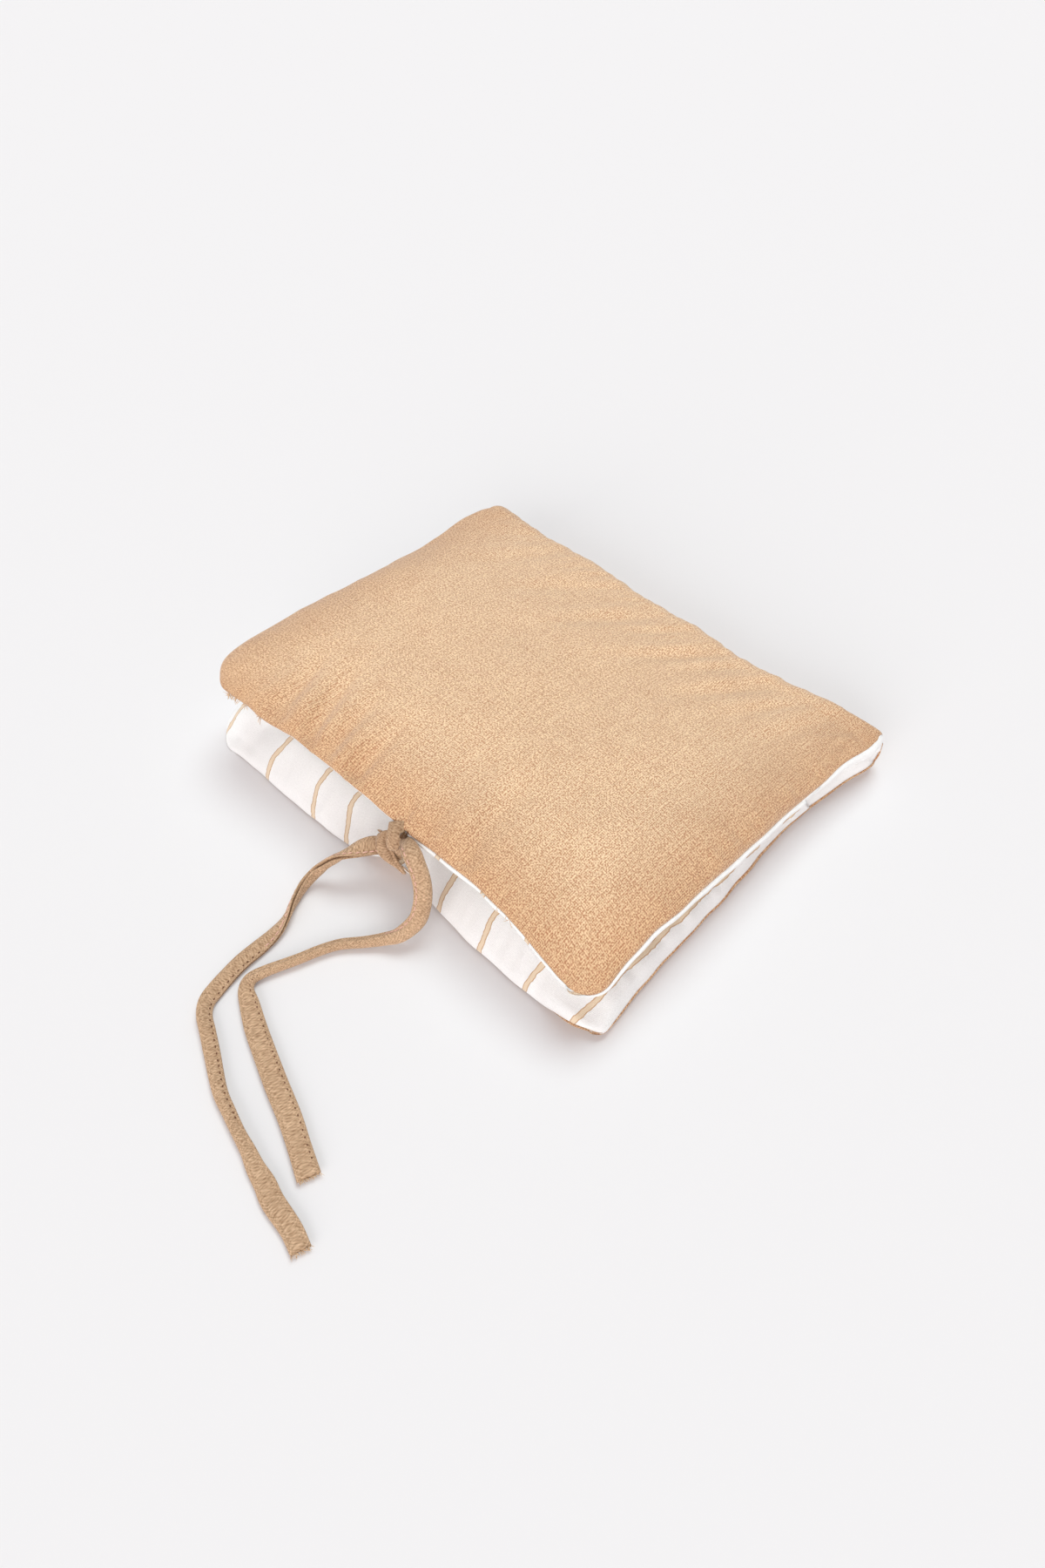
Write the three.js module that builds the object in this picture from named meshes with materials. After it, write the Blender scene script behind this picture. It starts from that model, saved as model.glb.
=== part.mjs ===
// A padded baby-change clutch: one quilted pad folded in two and tied shut at its front edge.
// Millimetres. X runs along the fold, Y from the front edge (-) to the fold (+), Z up.
// The origin is under the middle of the closed pad, on the surface that it lies on.
import * as THREE from "three";

// The closed pad, and the cloth that it is sewn from.
const clutchWidth = 250;
const clutchDepth = 200;
const clothThickness = 1;
const clearance = 0.3;

// The padded strip at the fold, which both halves hang on. Its two hinge lines run along its outer
// corners, so the halves stop short of its inner face by the working gap.
const foldHeight = 28;
const foldThickness = 9.6;
const foldCornerRadius = 6;
const foldWorkingGap = 0.9;
const coverTongueGap = 3;

// The lower half lies flat, with its seam just above the surface and its underside a little hollow.
const lowerSeamHeight = 2.6;
const underArch = { rise: 0.2, across: 104, y: 10.5, along: 87 };
const lowerCrownHeight = 15.5;
const lowerPadAtFold = 8.5;
const lowerCrownSetback = 60;

// The upper half rises from the fold to the front edge.
const upperPadAtFold = 8.5;
const undersideRise = 17.5;
const upperCrownRise = 18;
const upperCrownSetback = 40;
const seamShare = 0.45;
const seamRunOut = 70;
const leftLift = 3;
const foldTilt = { left: 5.6, right: 2.4 };
const nearCornerDroop = 11;
const droopReach = 28;
const tieDip = 5;
const tieDipReach = 20;

// The rolled rim: how far in from the seam each face takes to reach its full height.
const rimReach = 24;
const seamAllowance = 6;
const waddingEdge = 0.5;
const waddingRise = 0.8;

// The sides draw in a little between the corners. Each is a run of points, how far back it is and
// how far out. The front lines are runs of points too, how far across and how far back.
const lowerSides = {
  left: [[-100, 125.5], [-80, 126], [-40, 122], [0, 118.5], [50, 117.5], [100, 117]],
  right: [[-100, 125], [-73, 123], [-27, 120.5], [1, 118.5], [28, 117], [50, 117], [73, 119], [100, 123]],
};
const upperSides = {
  left: [[-100, 118.5], [-78, 120], [-60, 121], [-40, 121], [-5, 119], [24, 118], [72, 119], [100, 117]],
  right: [[-100, 122.5], [-60, 123.5], [-20, 123], [30, 122], [70, 122.5], [100, 123]],
};
const lowerFront = [[-118, 0], [-60, 0.3], [-20, 0.5], [0, 2.4], [13, 3.8], [26, 2], [60, 0.3], [118, 0]];
const upperFront = [[-125, 0], [-80, 3.2], [0, 6], [80, 3.4], [125, 0]];
const lowerCorners = { left: 17, right: 6 };
const upperCorners = { left: 21, right: 12 };

// The upper cover is creased along its front, where the tie and the seam draw it in. Each crease has
// its place, its slant, how far it runs back, how wide it is and how deep. The wadding keeps below.
const coverCreases = [
  { x: -57, y: -78, slant: -0.35, reach: 27, width: 6.5, depth: 2.8 },
  { x: -23, y: -86, slant: -0.06, reach: 24, width: 6.5, depth: 3 },
  { x: 42, y: -78, slant: -0.2, reach: 28, width: 7, depth: 2.6 },
];
const creaseSlack = { y: -82, reach: 40, depth: 4 };

// The slip pocket inside each half, sewn in at its sides and open towards the fold.
const pocketDepth = 140;
const pocketInset = 1;
const pocketLift = 0.5;
const hemWidth = 10;
const hemThickness = 2;

// The ties, and the half knot that they make in front of the pad.
const tieOffset = 13;
const tieRise = 7.5;
const tieReach = 13;
const tieThickness = 2.4;
const knotWidth = 12;
const knotDepth = 8;
const knotHeight = 17;
const knotTilt = 24;
const knotCentre = { across: 6.5, forward: 1.2, up: 25.5 };

// How finely the curved stretches are drawn.
const rimSteps = 5;
const fieldStep = 22;
const fineStep = 11;
const tapeStep = 6;
const tapeSides = 8;
const foldArcSteps = 5;
const foldSteps = 8;
const knotRings = 8;
const knotSides = 14;

const colours = { sand: 0xd9b489, ivory: 0xf4f2ee, wadding: 0xfbfbf9 };

const frontY = -clutchDepth / 2;
const backY = clutchDepth / 2;
const foldInnerY = backY - foldThickness;
const padEndY = foldInnerY - foldWorkingGap;
const coverEndY = backY - coverTongueGap;
const mouthY = frontY + pocketDepth;
const { lerp, clamp, smoothstep } = THREE.MathUtils;
const bell = (distance, reach) => Math.exp(-((distance / reach) ** 2));

// A smooth curve through [place, height] points, level beyond its ends.
function through(points, place) {
  const last = points.length - 1;
  const at = clamp(place, points[0][0], points[last][0]);
  let k = 0;
  while (k < last - 1 && at > points[k + 1][0]) {
    k += 1;
  }
  const slope = (index) => {
    if (index === 0 || index === last) {
      return 0;
    }
    const [before, after] = [points[index - 1], points[index + 1]];
    return (after[1] - before[1]) / (after[0] - before[0]);
  };
  const [[from, low], [to, high]] = [points[k], points[k + 1]];
  const span = to - from;
  const t = (at - from) / span;
  const pull = t * (1 - t) * span * ((1 - t) * slope(k) - t * slope(k + 1));
  return lerp(low, high, t) + pull - t * (1 - t) * (1 - 2 * t) * (high - low);
}

// Each half gives the height of its outer cover and of its lining away from the rim, and of the
// seam between them. towards the middle of the pad is up (+1) from the one and down (-1) from the
// other.
const awayFromFold = (y) => (padEndY - y) / (padEndY - frontY);
const seamFade = (y) => smoothstep(padEndY - y, 0, seamRunOut);

const lowerHalf = {
  sides: lowerSides,
  corners: lowerCorners,
  front: lowerFront,
  step: fieldStep,
  inward: 1,
  cover(x, y) {
    const across = Math.max(0, 1 - (x / underArch.across) ** 2);
    const along = Math.max(0, 1 - ((y - underArch.y) / underArch.along) ** 2);
    return (underArch.rise * (across + along)) / 2;
  },
  filled: (x, y) => lowerHalf.cover(x, y),
  lining(x, y) {
    const crownY = frontY + lowerCrownSetback;
    const share = clamp((y - crownY) / (padEndY - crownY), 0, 1);
    return lerp(lowerCrownHeight, lowerPadAtFold, (1 - Math.cos(Math.PI * share)) / 2);
  },
  seam(x, y) {
    const raised = tieRise * bell(x - tieOffset, tieReach) * bell(y - frontY, tieReach);
    return lerp(clothThickness, lowerSeamHeight, seamFade(y)) + raised;
  },
};

// The fold is thicker at its left end than at its right, where the padding is pressed thin.
function foldRise(x) {
  return (-x / (clutchWidth / 2)) * (x < 0 ? foldTilt.left : foldTilt.right);
}

// The upper half leans up to the left, droops at its near corner, and is pulled down by its tie.
function upperLean(x, y) {
  const corner = Math.hypot(x - clutchWidth / 2, y - frontY);
  const tie = Math.hypot(x - tieOffset, y - frontY);
  const away = clamp(awayFromFold(y), 0, 1);
  const lean = (-x / (clutchWidth / 2)) * leftLift * away + Math.max(0, foldRise(x)) * (1 - away);
  return lean - nearCornerDroop * bell(corner, droopReach) - tieDip * bell(tie, tieDipReach);
}

function creased(x, y) {
  const nearRim = Math.min(clutchWidth / 2 - Math.abs(x), y - frontY) / rimReach;
  const deep = coverCreases.map((crease) => {
    const off = x - crease.x - crease.slant * (y - crease.y);
    const shape = bell(off, crease.width) - 0.45 * bell(off + 1.9 * crease.width, crease.width);
    return crease.depth * shape * bell(y - crease.y, crease.reach);
  });
  return deep.reduce((sum, each) => sum + each, 0) * clamp(nearRim, 0, 1);
}

const upperHalf = {
  sides: upperSides,
  corners: upperCorners,
  front: upperFront,
  step: fineStep,
  inward: -1,
  smooth(x, y) {
    const crown = awayFromFold(frontY + upperCrownSetback);
    const rise = Math.sin((Math.PI / 2) * clamp(awayFromFold(y) / crown, 0, 1));
    const pressed = Math.min(0, foldRise(x)) * clamp(1 - awayFromFold(y), 0, 1);
    return foldHeight + upperCrownRise * rise + upperLean(x, y) + pressed;
  },
  cover: (x, y) => upperHalf.smooth(x, y) - creased(x, y),
  filled: (x, y) => upperHalf.smooth(x, y) - creaseSlack.depth * bell(y - creaseSlack.y, creaseSlack.reach),
  lining(x, y) {
    const rise = undersideRise * clamp(awayFromFold(y), 0, 1);
    return foldHeight - upperPadAtFold + rise + upperLean(x, y);
  },
  seam(x, y) {
    const smooth = upperHalf.smooth(x, y);
    return lerp(smooth - clothThickness, lerp(upperHalf.lining(x, y), smooth, seamShare), seamFade(y));
  },
};

// The sewn outline of a half, drawn in by inset all round.
function sideX(half, side, y, fromFront, inset) {
  const radius = half.corners[side] - inset;
  const rounding = fromFront < radius ? radius - Math.sqrt(radius ** 2 - (radius - fromFront) ** 2) : 0;
  return (through(half.sides[side], y) - inset - rounding) * (side === "left" ? -1 : 1);
}

const frontLine = (half, across) => frontY + through(half.front, (across * clutchWidth) / 2);
const rimHeight = (fromRim) => Math.sqrt(1 - (1 - clamp(fromRim / rimReach, 0, 1)) ** 2);

// The grid that every sheet of a half is drawn on: shares across it, and distances from its front.
const rimShare = (k) => 1 - Math.cos((k / rimSteps) * (Math.PI / 2));
const rimShares = Array.from({ length: rimSteps + 1 }, (_, k) => rimShare(k));

function spread(from, to) {
  const count = Math.max(1, Math.round((to - from) / fieldStep));
  return Array.from({ length: count }, (_, k) => lerp(from, to, (k + 1) / count));
}

function columns(step) {
  const left = rimShares.map((share) => -1 + (share * rimReach) / (clutchWidth / 2));
  const right = left.map((across) => -across).reverse();
  const steps = Math.round((clutchWidth - 2 * rimReach) / step);
  const between = (k) => lerp(left[rimSteps], right[0], (k + 1) / steps);
  const middle = Array.from({ length: steps - 1 }, (_, k) => between(k));
  return [...left, ...middle, ...right];
}

function rows(endY) {
  const rim = rimShares.map((share) => frontY + share * rimReach);
  const toMouth = spread(frontY + rimReach, mouthY);
  const hem = [mouthY + clearance, mouthY + hemWidth];
  return [...rim, ...toMouth, ...hem, ...spread(mouthY + hemWidth, endY)];
}

// The points of one face of a half. depth is how far inside the finished face they lie, inset how
// far their edge is drawn in from the seam, and lift moves them off the face. At the edge they are
// seamShift outwards from the seam line, and the whole edge is seamRise from the cover's side.
function faceGrid(half, face, place) {
  const { depth = 0, inset = depth, seamShift = 0, seamRise = 0, lift = 0, endY } = place;
  const direction = face === "lining" ? -half.inward : half.inward;
  const height = half[face];
  return rows(endY).slice(...(place.rowRange ?? [0])).map((rowY) =>
    columns(half.step).slice(...(place.columnRange ?? [0])).map((across) => {
      const start = frontLine(half, across) + inset;
      const y = lerp(start, endY, (rowY - frontY) / (endY - frontY));
      const left = sideX(half, "left", y, y - start, inset);
      const right = sideX(half, "right", y, y - start, inset);
      const x = lerp(left, right, (across + 1) / 2);
      const rim = rimHeight(Math.min(x - left, right - x)) * rimHeight(y - start);
      const seam = half.seam(x, y) + seamRise * half.inward - seamShift * direction;
      return [x, y, lerp(seam, height(x, y) + depth * direction, rim) - lift * direction];
    }));
}

// A closed mesh from faces of three or four points, turned to face outwards.
function closedMesh(name, points, faces, colour) {
  const index = faces.flatMap((f) => (f.length === 3 ? f : [f[0], f[1], f[2], f[0], f[2], f[3]]));
  let volume = 0;
  const [a, b, c] = [new THREE.Vector3(), new THREE.Vector3(), new THREE.Vector3()];
  for (let k = 0; k < index.length; k += 3) {
    a.fromArray(points[index[k]]);
    b.fromArray(points[index[k + 1]]);
    c.fromArray(points[index[k + 2]]);
    volume += a.dot(b.cross(c));
  }
  if (volume < 0) {
    index.reverse();
  }
  const geometry = new THREE.BufferGeometry();
  geometry.setAttribute("position", new THREE.Float32BufferAttribute(points.flat(), 3));
  geometry.setIndex(index);
  geometry.computeVertexNormals();
  return namedMesh(name, geometry, colour);
}

function namedMesh(name, geometry, colour) {
  const material = new THREE.MeshStandardMaterial({ color: colour, roughness: 0.9, metalness: 0 });
  const mesh = new THREE.Mesh(geometry, material);
  mesh.name = name;
  return mesh;
}

// A sheet between two grids of the same size, closed all round its edge.
function sheet(name, near, far, colour) {
  const [rowCount, columnCount] = [near.length, near[0].length];
  const at = (layer, i, j) => layer * rowCount * columnCount + i * columnCount + j;
  const faces = [];
  for (let i = 0; i < rowCount - 1; i += 1) {
    for (let j = 0; j < columnCount - 1; j += 1) {
      faces.push([at(0, i, j), at(0, i, j + 1), at(0, i + 1, j + 1), at(0, i + 1, j)]);
      faces.push([at(1, i, j), at(1, i + 1, j), at(1, i + 1, j + 1), at(1, i, j + 1)]);
    }
  }
  const edge = [];
  for (let j = 0; j < columnCount - 1; j += 1) edge.push([0, j]);
  for (let i = 0; i < rowCount - 1; i += 1) edge.push([i, columnCount - 1]);
  for (let j = columnCount - 1; j > 0; j -= 1) edge.push([rowCount - 1, j]);
  for (let i = rowCount - 1; i > 0; i -= 1) edge.push([i, 0]);
  edge.forEach((here, k) => {
    const next = edge[(k + 1) % edge.length];
    faces.push([at(0, ...next), at(0, ...here), at(1, ...here), at(1, ...next)]);
  });
  return closedMesh(name, [...near.flat(), ...far.flat()], faces, colour);
}

// The cover, the wadding and the lining of a half, one inside the other.
function coverSheet(half, name) {
  const place = { seamShift: clearance / 2, endY: coverEndY };
  const outside = faceGrid(half, "cover", { ...place });
  const inside = faceGrid(half, "cover", { ...place, depth: clothThickness });
  return sheet(name, outside, inside, colours.sand);
}

function liningSheet(half, name) {
  const place = { seamShift: clearance / 2, endY: padEndY };
  const outside = faceGrid(half, "lining", { ...place });
  const inside = faceGrid(half, "lining", { ...place, depth: clothThickness });
  return sheet(name, outside, inside, colours.ivory);
}

function waddingPad(half, name) {
  const depth = clothThickness + clearance;
  const edge = { inset: seamAllowance, seamShift: waddingEdge / 2, seamRise: waddingRise };
  const place = { depth, ...edge, endY: padEndY };
  return sheet(name, faceGrid(half, "filled", place), faceGrid(half, "lining", place), colours.wadding);
}

// The pocket lies on the lining from inside the rolled rim to its mouth, where a hem is turned.
const mouthRow = rows(padEndY).indexOf(mouthY);
const pocketColumns = [pocketInset, -pocketInset];

function pocketSheet(half, name) {
  const place = { endY: padEndY, rowRange: [pocketInset, mouthRow + 1], columnRange: pocketColumns };
  const under = faceGrid(half, "lining", { ...place, lift: pocketLift });
  const over = faceGrid(half, "lining", { ...place, lift: pocketLift + clothThickness });
  return sheet(name, under, over, colours.ivory);
}

function pocketHem(half, name) {
  const place = { endY: padEndY, rowRange: [mouthRow + 1, mouthRow + 3], columnRange: pocketColumns };
  const under = faceGrid(half, "lining", { ...place, lift: pocketLift });
  const over = faceGrid(half, "lining", { ...place, lift: pocketLift + hemThickness });
  return sheet(name, under, over, colours.ivory);
}

// The strip at the fold stands between the tongues of the two covers: its cover goes round the
// back, its lining faces the compartment, and the wadding fills it.
const foldLeft = sideX(lowerHalf, "left", backY, clutchDepth, 0);
const foldRight = sideX(lowerHalf, "right", backY, clutchDepth, 0);

function alongFold(name, outline, colour) {
  const depth = foldRight - foldLeft;
  const settings = { depth, steps: foldSteps, bevelEnabled: false, curveSegments: foldArcSteps };
  const geometry = new THREE.ExtrudeGeometry(outline, settings);
  geometry.rotateY(Math.PI / 2);
  geometry.rotateX(Math.PI / 2);
  geometry.translate(foldLeft, 0, 0);
  const place = geometry.attributes.position;
  const [low, high] = [clothThickness + clearance, foldHeight - clothThickness - clearance];
  for (let k = 0; k < place.count; k += 1) {
    place.setZ(k, place.getZ(k) + ((place.getZ(k) - low) / (high - low)) * foldRise(place.getX(k)));
  }
  geometry.computeVertexNormals();
  return namedMesh(name, geometry, colour);
}

// Drawn with the section's y to the right and z up, from one inset to a smaller one.
function foldBack(path, inset, reversed) {
  const radius = foldCornerRadius - inset;
  const outer = backY - inset;
  const low = clothThickness + clearance + inset;
  const high = foldHeight - low;
  if (reversed) {
    path.lineTo(outer - radius, high);
    path.absarc(outer - radius, high - radius, radius, Math.PI / 2, 0, true);
    path.lineTo(outer, low + radius);
    path.absarc(outer - radius, low + radius, radius, 0, -Math.PI / 2, true);
    return;
  }
  path.lineTo(outer - radius, low);
  path.absarc(outer - radius, low + radius, radius, -Math.PI / 2, 0, false);
  path.lineTo(outer, high - radius);
  path.absarc(outer - radius, high - radius, radius, 0, Math.PI / 2, false);
}

function foldCover() {
  const shape = new THREE.Shape();
  const low = clothThickness + clearance;
  const high = foldHeight - low;
  shape.moveTo(foldInnerY, low);
  foldBack(shape, 0, false);
  shape.lineTo(foldInnerY, high);
  shape.lineTo(foldInnerY, high - clothThickness);
  foldBack(shape, clothThickness, true);
  shape.lineTo(foldInnerY, low + clothThickness);
  shape.closePath();
  return alongFold("fold_cover", shape, colours.sand);
}

function foldWadding() {
  const inset = clothThickness + clearance;
  const shape = new THREE.Shape();
  const innerY = foldInnerY + clothThickness + clearance;
  shape.moveTo(innerY, clothThickness + clearance + inset);
  foldBack(shape, inset, false);
  shape.lineTo(innerY, foldHeight - clothThickness - clearance - inset);
  shape.closePath();
  return alongFold("fold_wadding", shape, colours.wadding);
}

function foldLining() {
  const low = 2 * (clothThickness + clearance);
  const high = foldHeight - low;
  const shape = new THREE.Shape();
  shape.moveTo(foldInnerY, low);
  shape.lineTo(foldInnerY + clothThickness, low);
  shape.lineTo(foldInnerY + clothThickness, high);
  shape.lineTo(foldInnerY, high);
  shape.closePath();
  return alongFold("fold_lining", shape, colours.ivory);
}

// A sewn tape along a route of [x, y, z, width]. Its width lies along flatAtEnd at its far end, and
// is carried back from there without a twist.
function tape(name, route, flatAtEnd) {
  const stations = route.map(([x, y, z]) => new THREE.Vector3(x, y, z));
  const curve = new THREE.CatmullRomCurve3(stations, false, "centripetal");
  const steps = Math.max(2, Math.round(curve.getLength() / tapeStep));
  const legs = route.length - 1;
  const rings = [];
  const flat = flatAtEnd.clone();
  for (let k = steps; k >= 0; k -= 1) {
    const t = curve.getUtoTmapping(k / steps);
    const here = curve.getPoint(t);
    const tangent = curve.getTangent(t);
    flat.addScaledVector(tangent, -flat.dot(tangent)).normalize();
    const normal = tangent.clone().cross(flat);
    const leg = Math.min(Math.floor(t * legs), legs - 1);
    const width = lerp(route[leg][3], route[leg + 1][3], t * legs - leg);
    rings.push(tapeRing(here, flat, normal, width, rolled(width)));
  }
  const faces = [];
  for (let k = 0; k < steps; k += 1) {
    for (let s = 0; s < tapeSides; s += 1) {
      const next = (s + 1) % tapeSides;
      const [here, beyond] = [k * tapeSides, (k + 1) * tapeSides];
      faces.push([here + s, here + next, beyond + next, beyond + s]);
    }
  }
  for (let s = 1; s < tapeSides - 1; s += 1) {
    const last = steps * tapeSides;
    faces.push([0, s + 1, s], [last, last + s, last + s + 1]);
  }
  return closedMesh(name, rings.flat(), faces, colours.sand);
}

function tapeRing(centre, flat, normal, width, thickness) {
  const corner = 1 / Math.cos(Math.PI / tapeSides);
  return Array.from({ length: tapeSides }, (_, s) => {
    const angle = ((s + 0.5) / tapeSides) * 2 * Math.PI;
    const point = centre.clone();
    point.addScaledVector(flat, (width / 2) * corner * Math.cos(angle));
    point.addScaledVector(normal, (thickness / 2) * corner * Math.sin(angle));
    return point.toArray();
  });
}

// Where it is narrow, the tape is rolled up and so thicker.
const rolled = (width) => tieThickness * clamp(9 / width, 1, 1.6);

const acrossLeftTail = new THREE.Vector3(0.3, 1, 0);
const leftTailRoute = [
  [0.55, -102.1, 22, 6.6], [-2.6, -105, 21.6, 6.6], [-6, -109, 19.6, 6.2], [-9.5, -112.5, 17.8, 6],
  [-14.3, -116.4, 13.5, 6],
  [-18, -120.5, 8, 5.5], [-19, -126, 4, 5.2], [-18.5, -132, 2.6, 5.2], [-15.2, -139.5, 2.2, 5.4],
  [-12, -146.5, 2, 5.8], [-9.9, -154.6, 1.8, 6.8], [-9.3, -163.1, 1.6, 7.6], [-9.2, -171.8, 1.5, 8],
  [-8.2, -179.5, 1.5, 8], [-6.3, -188.4, 1.6, 7.8], [-4, -195, 1.8, 7.2], [0.5, -199.5, 2, 6.8],
  [7.7, -203.2, 2, 6.8], [16, -207.5, 2, 6.8], [31.4, -215.4, 2, 6.2], [41.8, -218.7, 2.2, 5.6],
  [51.3, -221.4, 2.2, 5.4], [59.3, -223.3, 2, 6], [66.6, -225.5, 1.8, 7.4], [74.2, -227.1, 1.5, 8.6],
  [81.5, -229.3, 1.5, 9], [94.4, -231.2, 1.5, 8.6], [102.8, -233.7, 1.5, 8.4],
];

const acrossRightTail = new THREE.Vector3(0.4, 1, 0);
const rightTailRoute = [
  [13.8, -101.6, 32, 6], [16.8, -101.8, 35.2, 7.5], [20.6, -102.2, 36.6, 8], [23.8, -102.7, 35.4, 8.2],
  [26.7, -103, 33, 8.2], [29.7, -103.6, 29.8, 8.2], [32.3, -104.6, 26.5, 8.2], [34.5, -106.4, 22.9, 8.2],
  [36, -109, 18, 8.2], [36.5, -113, 13, 8], [33.5, -120, 7, 7], [28, -125.5, 4, 5.6],
  [22.1, -131.9, 2.8, 5.2], [15.7, -139, 2.4, 5], [11.8, -146.4, 2.4, 4.8], [8.2, -155.9, 2.4, 4.8],
  [4.9, -163.4, 2.3, 5], [2.2, -169.7, 2.2, 5.2], [0.7, -175.6, 2, 5.6], [3.2, -180.2, 1.8, 6.6],
  [9.7, -183.6, 1.6, 8.4], [20.2, -188.7, 1.5, 9.4], [32.6, -193.7, 1.5, 9.6], [46.3, -199, 1.5, 9.8],
  [60.5, -204.1, 1.5, 9.7], [72.2, -209.1, 1.5, 9.4], [84, -214.3, 1.5, 9.8],
];

const alongSeam = new THREE.Vector3(1, 0, 0);

// The roots of the ties are caught in the two front seams and run into the knot.
const knotY = frontY - knotCentre.forward;
const tieAcross = tieOffset / (clutchWidth / 2);
const upperSeamY = frontLine(upperHalf, tieAcross);
const upperSeamZ = upperHalf.seam(tieOffset, upperSeamY);
const lowerSeamY = frontLine(lowerHalf, tieAcross);
const lowerSeamZ = lowerHalf.seam(tieOffset, lowerSeamY);
const lowerRootRoute = [
  [tieOffset + 2, lowerSeamY - tieThickness, lowerSeamZ, 7],
  [tieOffset + 1, lowerSeamY - tieThickness - 0.6, lowerSeamZ + 2.4, 6],
  [tieOffset - 1.4, knotY + 0.4, knotCentre.up - knotHeight / 2 - 1.6, 5],
];
const upperRootRoute = [
  [knotCentre.across + 2, upperSeamY - 4 * clearance, upperSeamZ - 0.5, 6.4],
  [knotCentre.across + 2.6, upperSeamY - 3, upperSeamZ, 6],
  [knotCentre.across + 3, knotY + 1.6, knotCentre.up + knotHeight / 2 + 2, 5.4],
  [knotCentre.across + 3.2, knotY + 0.2, knotCentre.up + knotHeight / 2 + 0.4, 4.6],
];

// The half knot, seen as the turn that one tie makes round the other.
function tieKnot() {
  const profile = Array.from({ length: knotRings + 1 }, (_, k) => {
    const angle = (k / knotRings - 0.5) * Math.PI;
    const swell = Math.cos(angle) ** 0.7;
    const radius = k === 0 || k === knotRings ? 0 : (knotWidth / 2) * swell;
    return new THREE.Vector2(radius, (Math.sin(angle) * knotHeight) / 2);
  });
  const geometry = new THREE.LatheGeometry(profile, knotSides);
  geometry.rotateX(Math.PI / 2);
  geometry.scale(1, knotDepth / knotWidth, 1);
  geometry.rotateY(THREE.MathUtils.degToRad(-knotTilt));
  geometry.translate(knotCentre.across, knotY, knotCentre.up);
  return namedMesh("tie_knot", geometry, colours.sand);
}

const clutch = new THREE.Group();
clutch.add(
  coverSheet(lowerHalf, "lower_cover"),
  waddingPad(lowerHalf, "lower_wadding"),
  liningSheet(lowerHalf, "lower_lining"),
  pocketSheet(lowerHalf, "lower_pocket"),
  pocketHem(lowerHalf, "lower_pocket_hem"),
  foldCover(),
  foldWadding(),
  foldLining(),
  coverSheet(upperHalf, "upper_cover"),
  waddingPad(upperHalf, "upper_wadding"),
  liningSheet(upperHalf, "upper_lining"),
  pocketSheet(upperHalf, "upper_pocket"),
  pocketHem(upperHalf, "upper_pocket_hem"),
  tape("lower_tie_root", lowerRootRoute, alongSeam),
  tape("upper_tie_root", upperRootRoute, alongSeam),
  tieKnot(),
  tape("left_tie_tail", leftTailRoute, acrossLeftTail),
  tape("right_tie_tail", rightTailRoute, acrossRightTail),
);

export default clutch;
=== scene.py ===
# A diaper clutch: one padded, striped pad folded in two like a book and tied shut at its front.
import math
import random

import bpy
import numpy as np
from mathutils import Matrix, Vector, noise


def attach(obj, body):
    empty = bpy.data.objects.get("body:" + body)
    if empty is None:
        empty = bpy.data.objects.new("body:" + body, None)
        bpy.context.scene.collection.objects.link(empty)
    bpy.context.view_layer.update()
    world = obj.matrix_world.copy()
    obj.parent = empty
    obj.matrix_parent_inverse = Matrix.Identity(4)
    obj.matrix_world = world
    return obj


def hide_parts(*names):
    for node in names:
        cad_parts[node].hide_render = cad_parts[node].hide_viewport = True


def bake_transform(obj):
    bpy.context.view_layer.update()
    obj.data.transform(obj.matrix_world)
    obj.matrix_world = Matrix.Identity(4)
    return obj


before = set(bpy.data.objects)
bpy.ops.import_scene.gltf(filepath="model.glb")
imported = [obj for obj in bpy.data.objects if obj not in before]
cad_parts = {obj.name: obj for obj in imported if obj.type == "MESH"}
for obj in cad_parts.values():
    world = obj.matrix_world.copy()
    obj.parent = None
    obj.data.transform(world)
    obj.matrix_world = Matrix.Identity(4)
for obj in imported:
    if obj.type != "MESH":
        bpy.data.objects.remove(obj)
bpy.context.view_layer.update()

# The studio.
# A pale table under an even sky. One broad light stands overhead, a little behind and to the left,
# and another comes in low from the front right. The camera stands off the near corner and looks down
# on the clutch at about fifty degrees.
camera_place = (0.2734, -0.2858, 0.4414)
camera_data = bpy.data.cameras.new("camera")
camera = bpy.data.objects.new("camera", camera_data)
bpy.context.collection.objects.link(camera)
camera_data.lens = 28.0
camera_data.sensor_width = 36.0
view_right = Vector((0.7255, 0.6879, -0.0192))
view_up = Vector((-0.5159, 0.5621, 0.6465))
view_back = Vector((0.4555, -0.4591, 0.7627))
turned = Matrix((view_right, view_up, view_back)).transposed().to_4x4()
camera.matrix_world = Matrix.Translation(camera_place) @ turned
bpy.context.scene.camera = camera


def feed(tree, node, values):
    """Joins inputs of a node to outputs, or gives them colours or numbers."""
    for name, value in values.items():
        socket = node.inputs[name]
        if isinstance(value, bpy.types.NodeSocket):
            tree.links.new(value, socket)
        elif isinstance(value, tuple):
            socket.default_value = (*value, 1)
        else:
            socket.default_value = value


def add_math(tree, kind, *values):
    node = tree.nodes.new("ShaderNodeMath")
    node.operation = kind
    feed(tree, node, dict(enumerate(values)))
    return node.outputs[0]


def mix_surfaces(tree, share, first, second, output):
    mix = tree.nodes.new("ShaderNodeMixShader")
    feed(tree, mix, {0: share, 1: first, 2: second})
    feed(tree, tree.nodes[output], {"Surface": mix.outputs[0]})


def new_material(name):
    """A material, its nodes and its shader."""
    material = bpy.data.materials.new(name)
    material.use_nodes = True
    tree = material.node_tree
    return material, tree, tree.nodes["Principled BSDF"]


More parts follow.
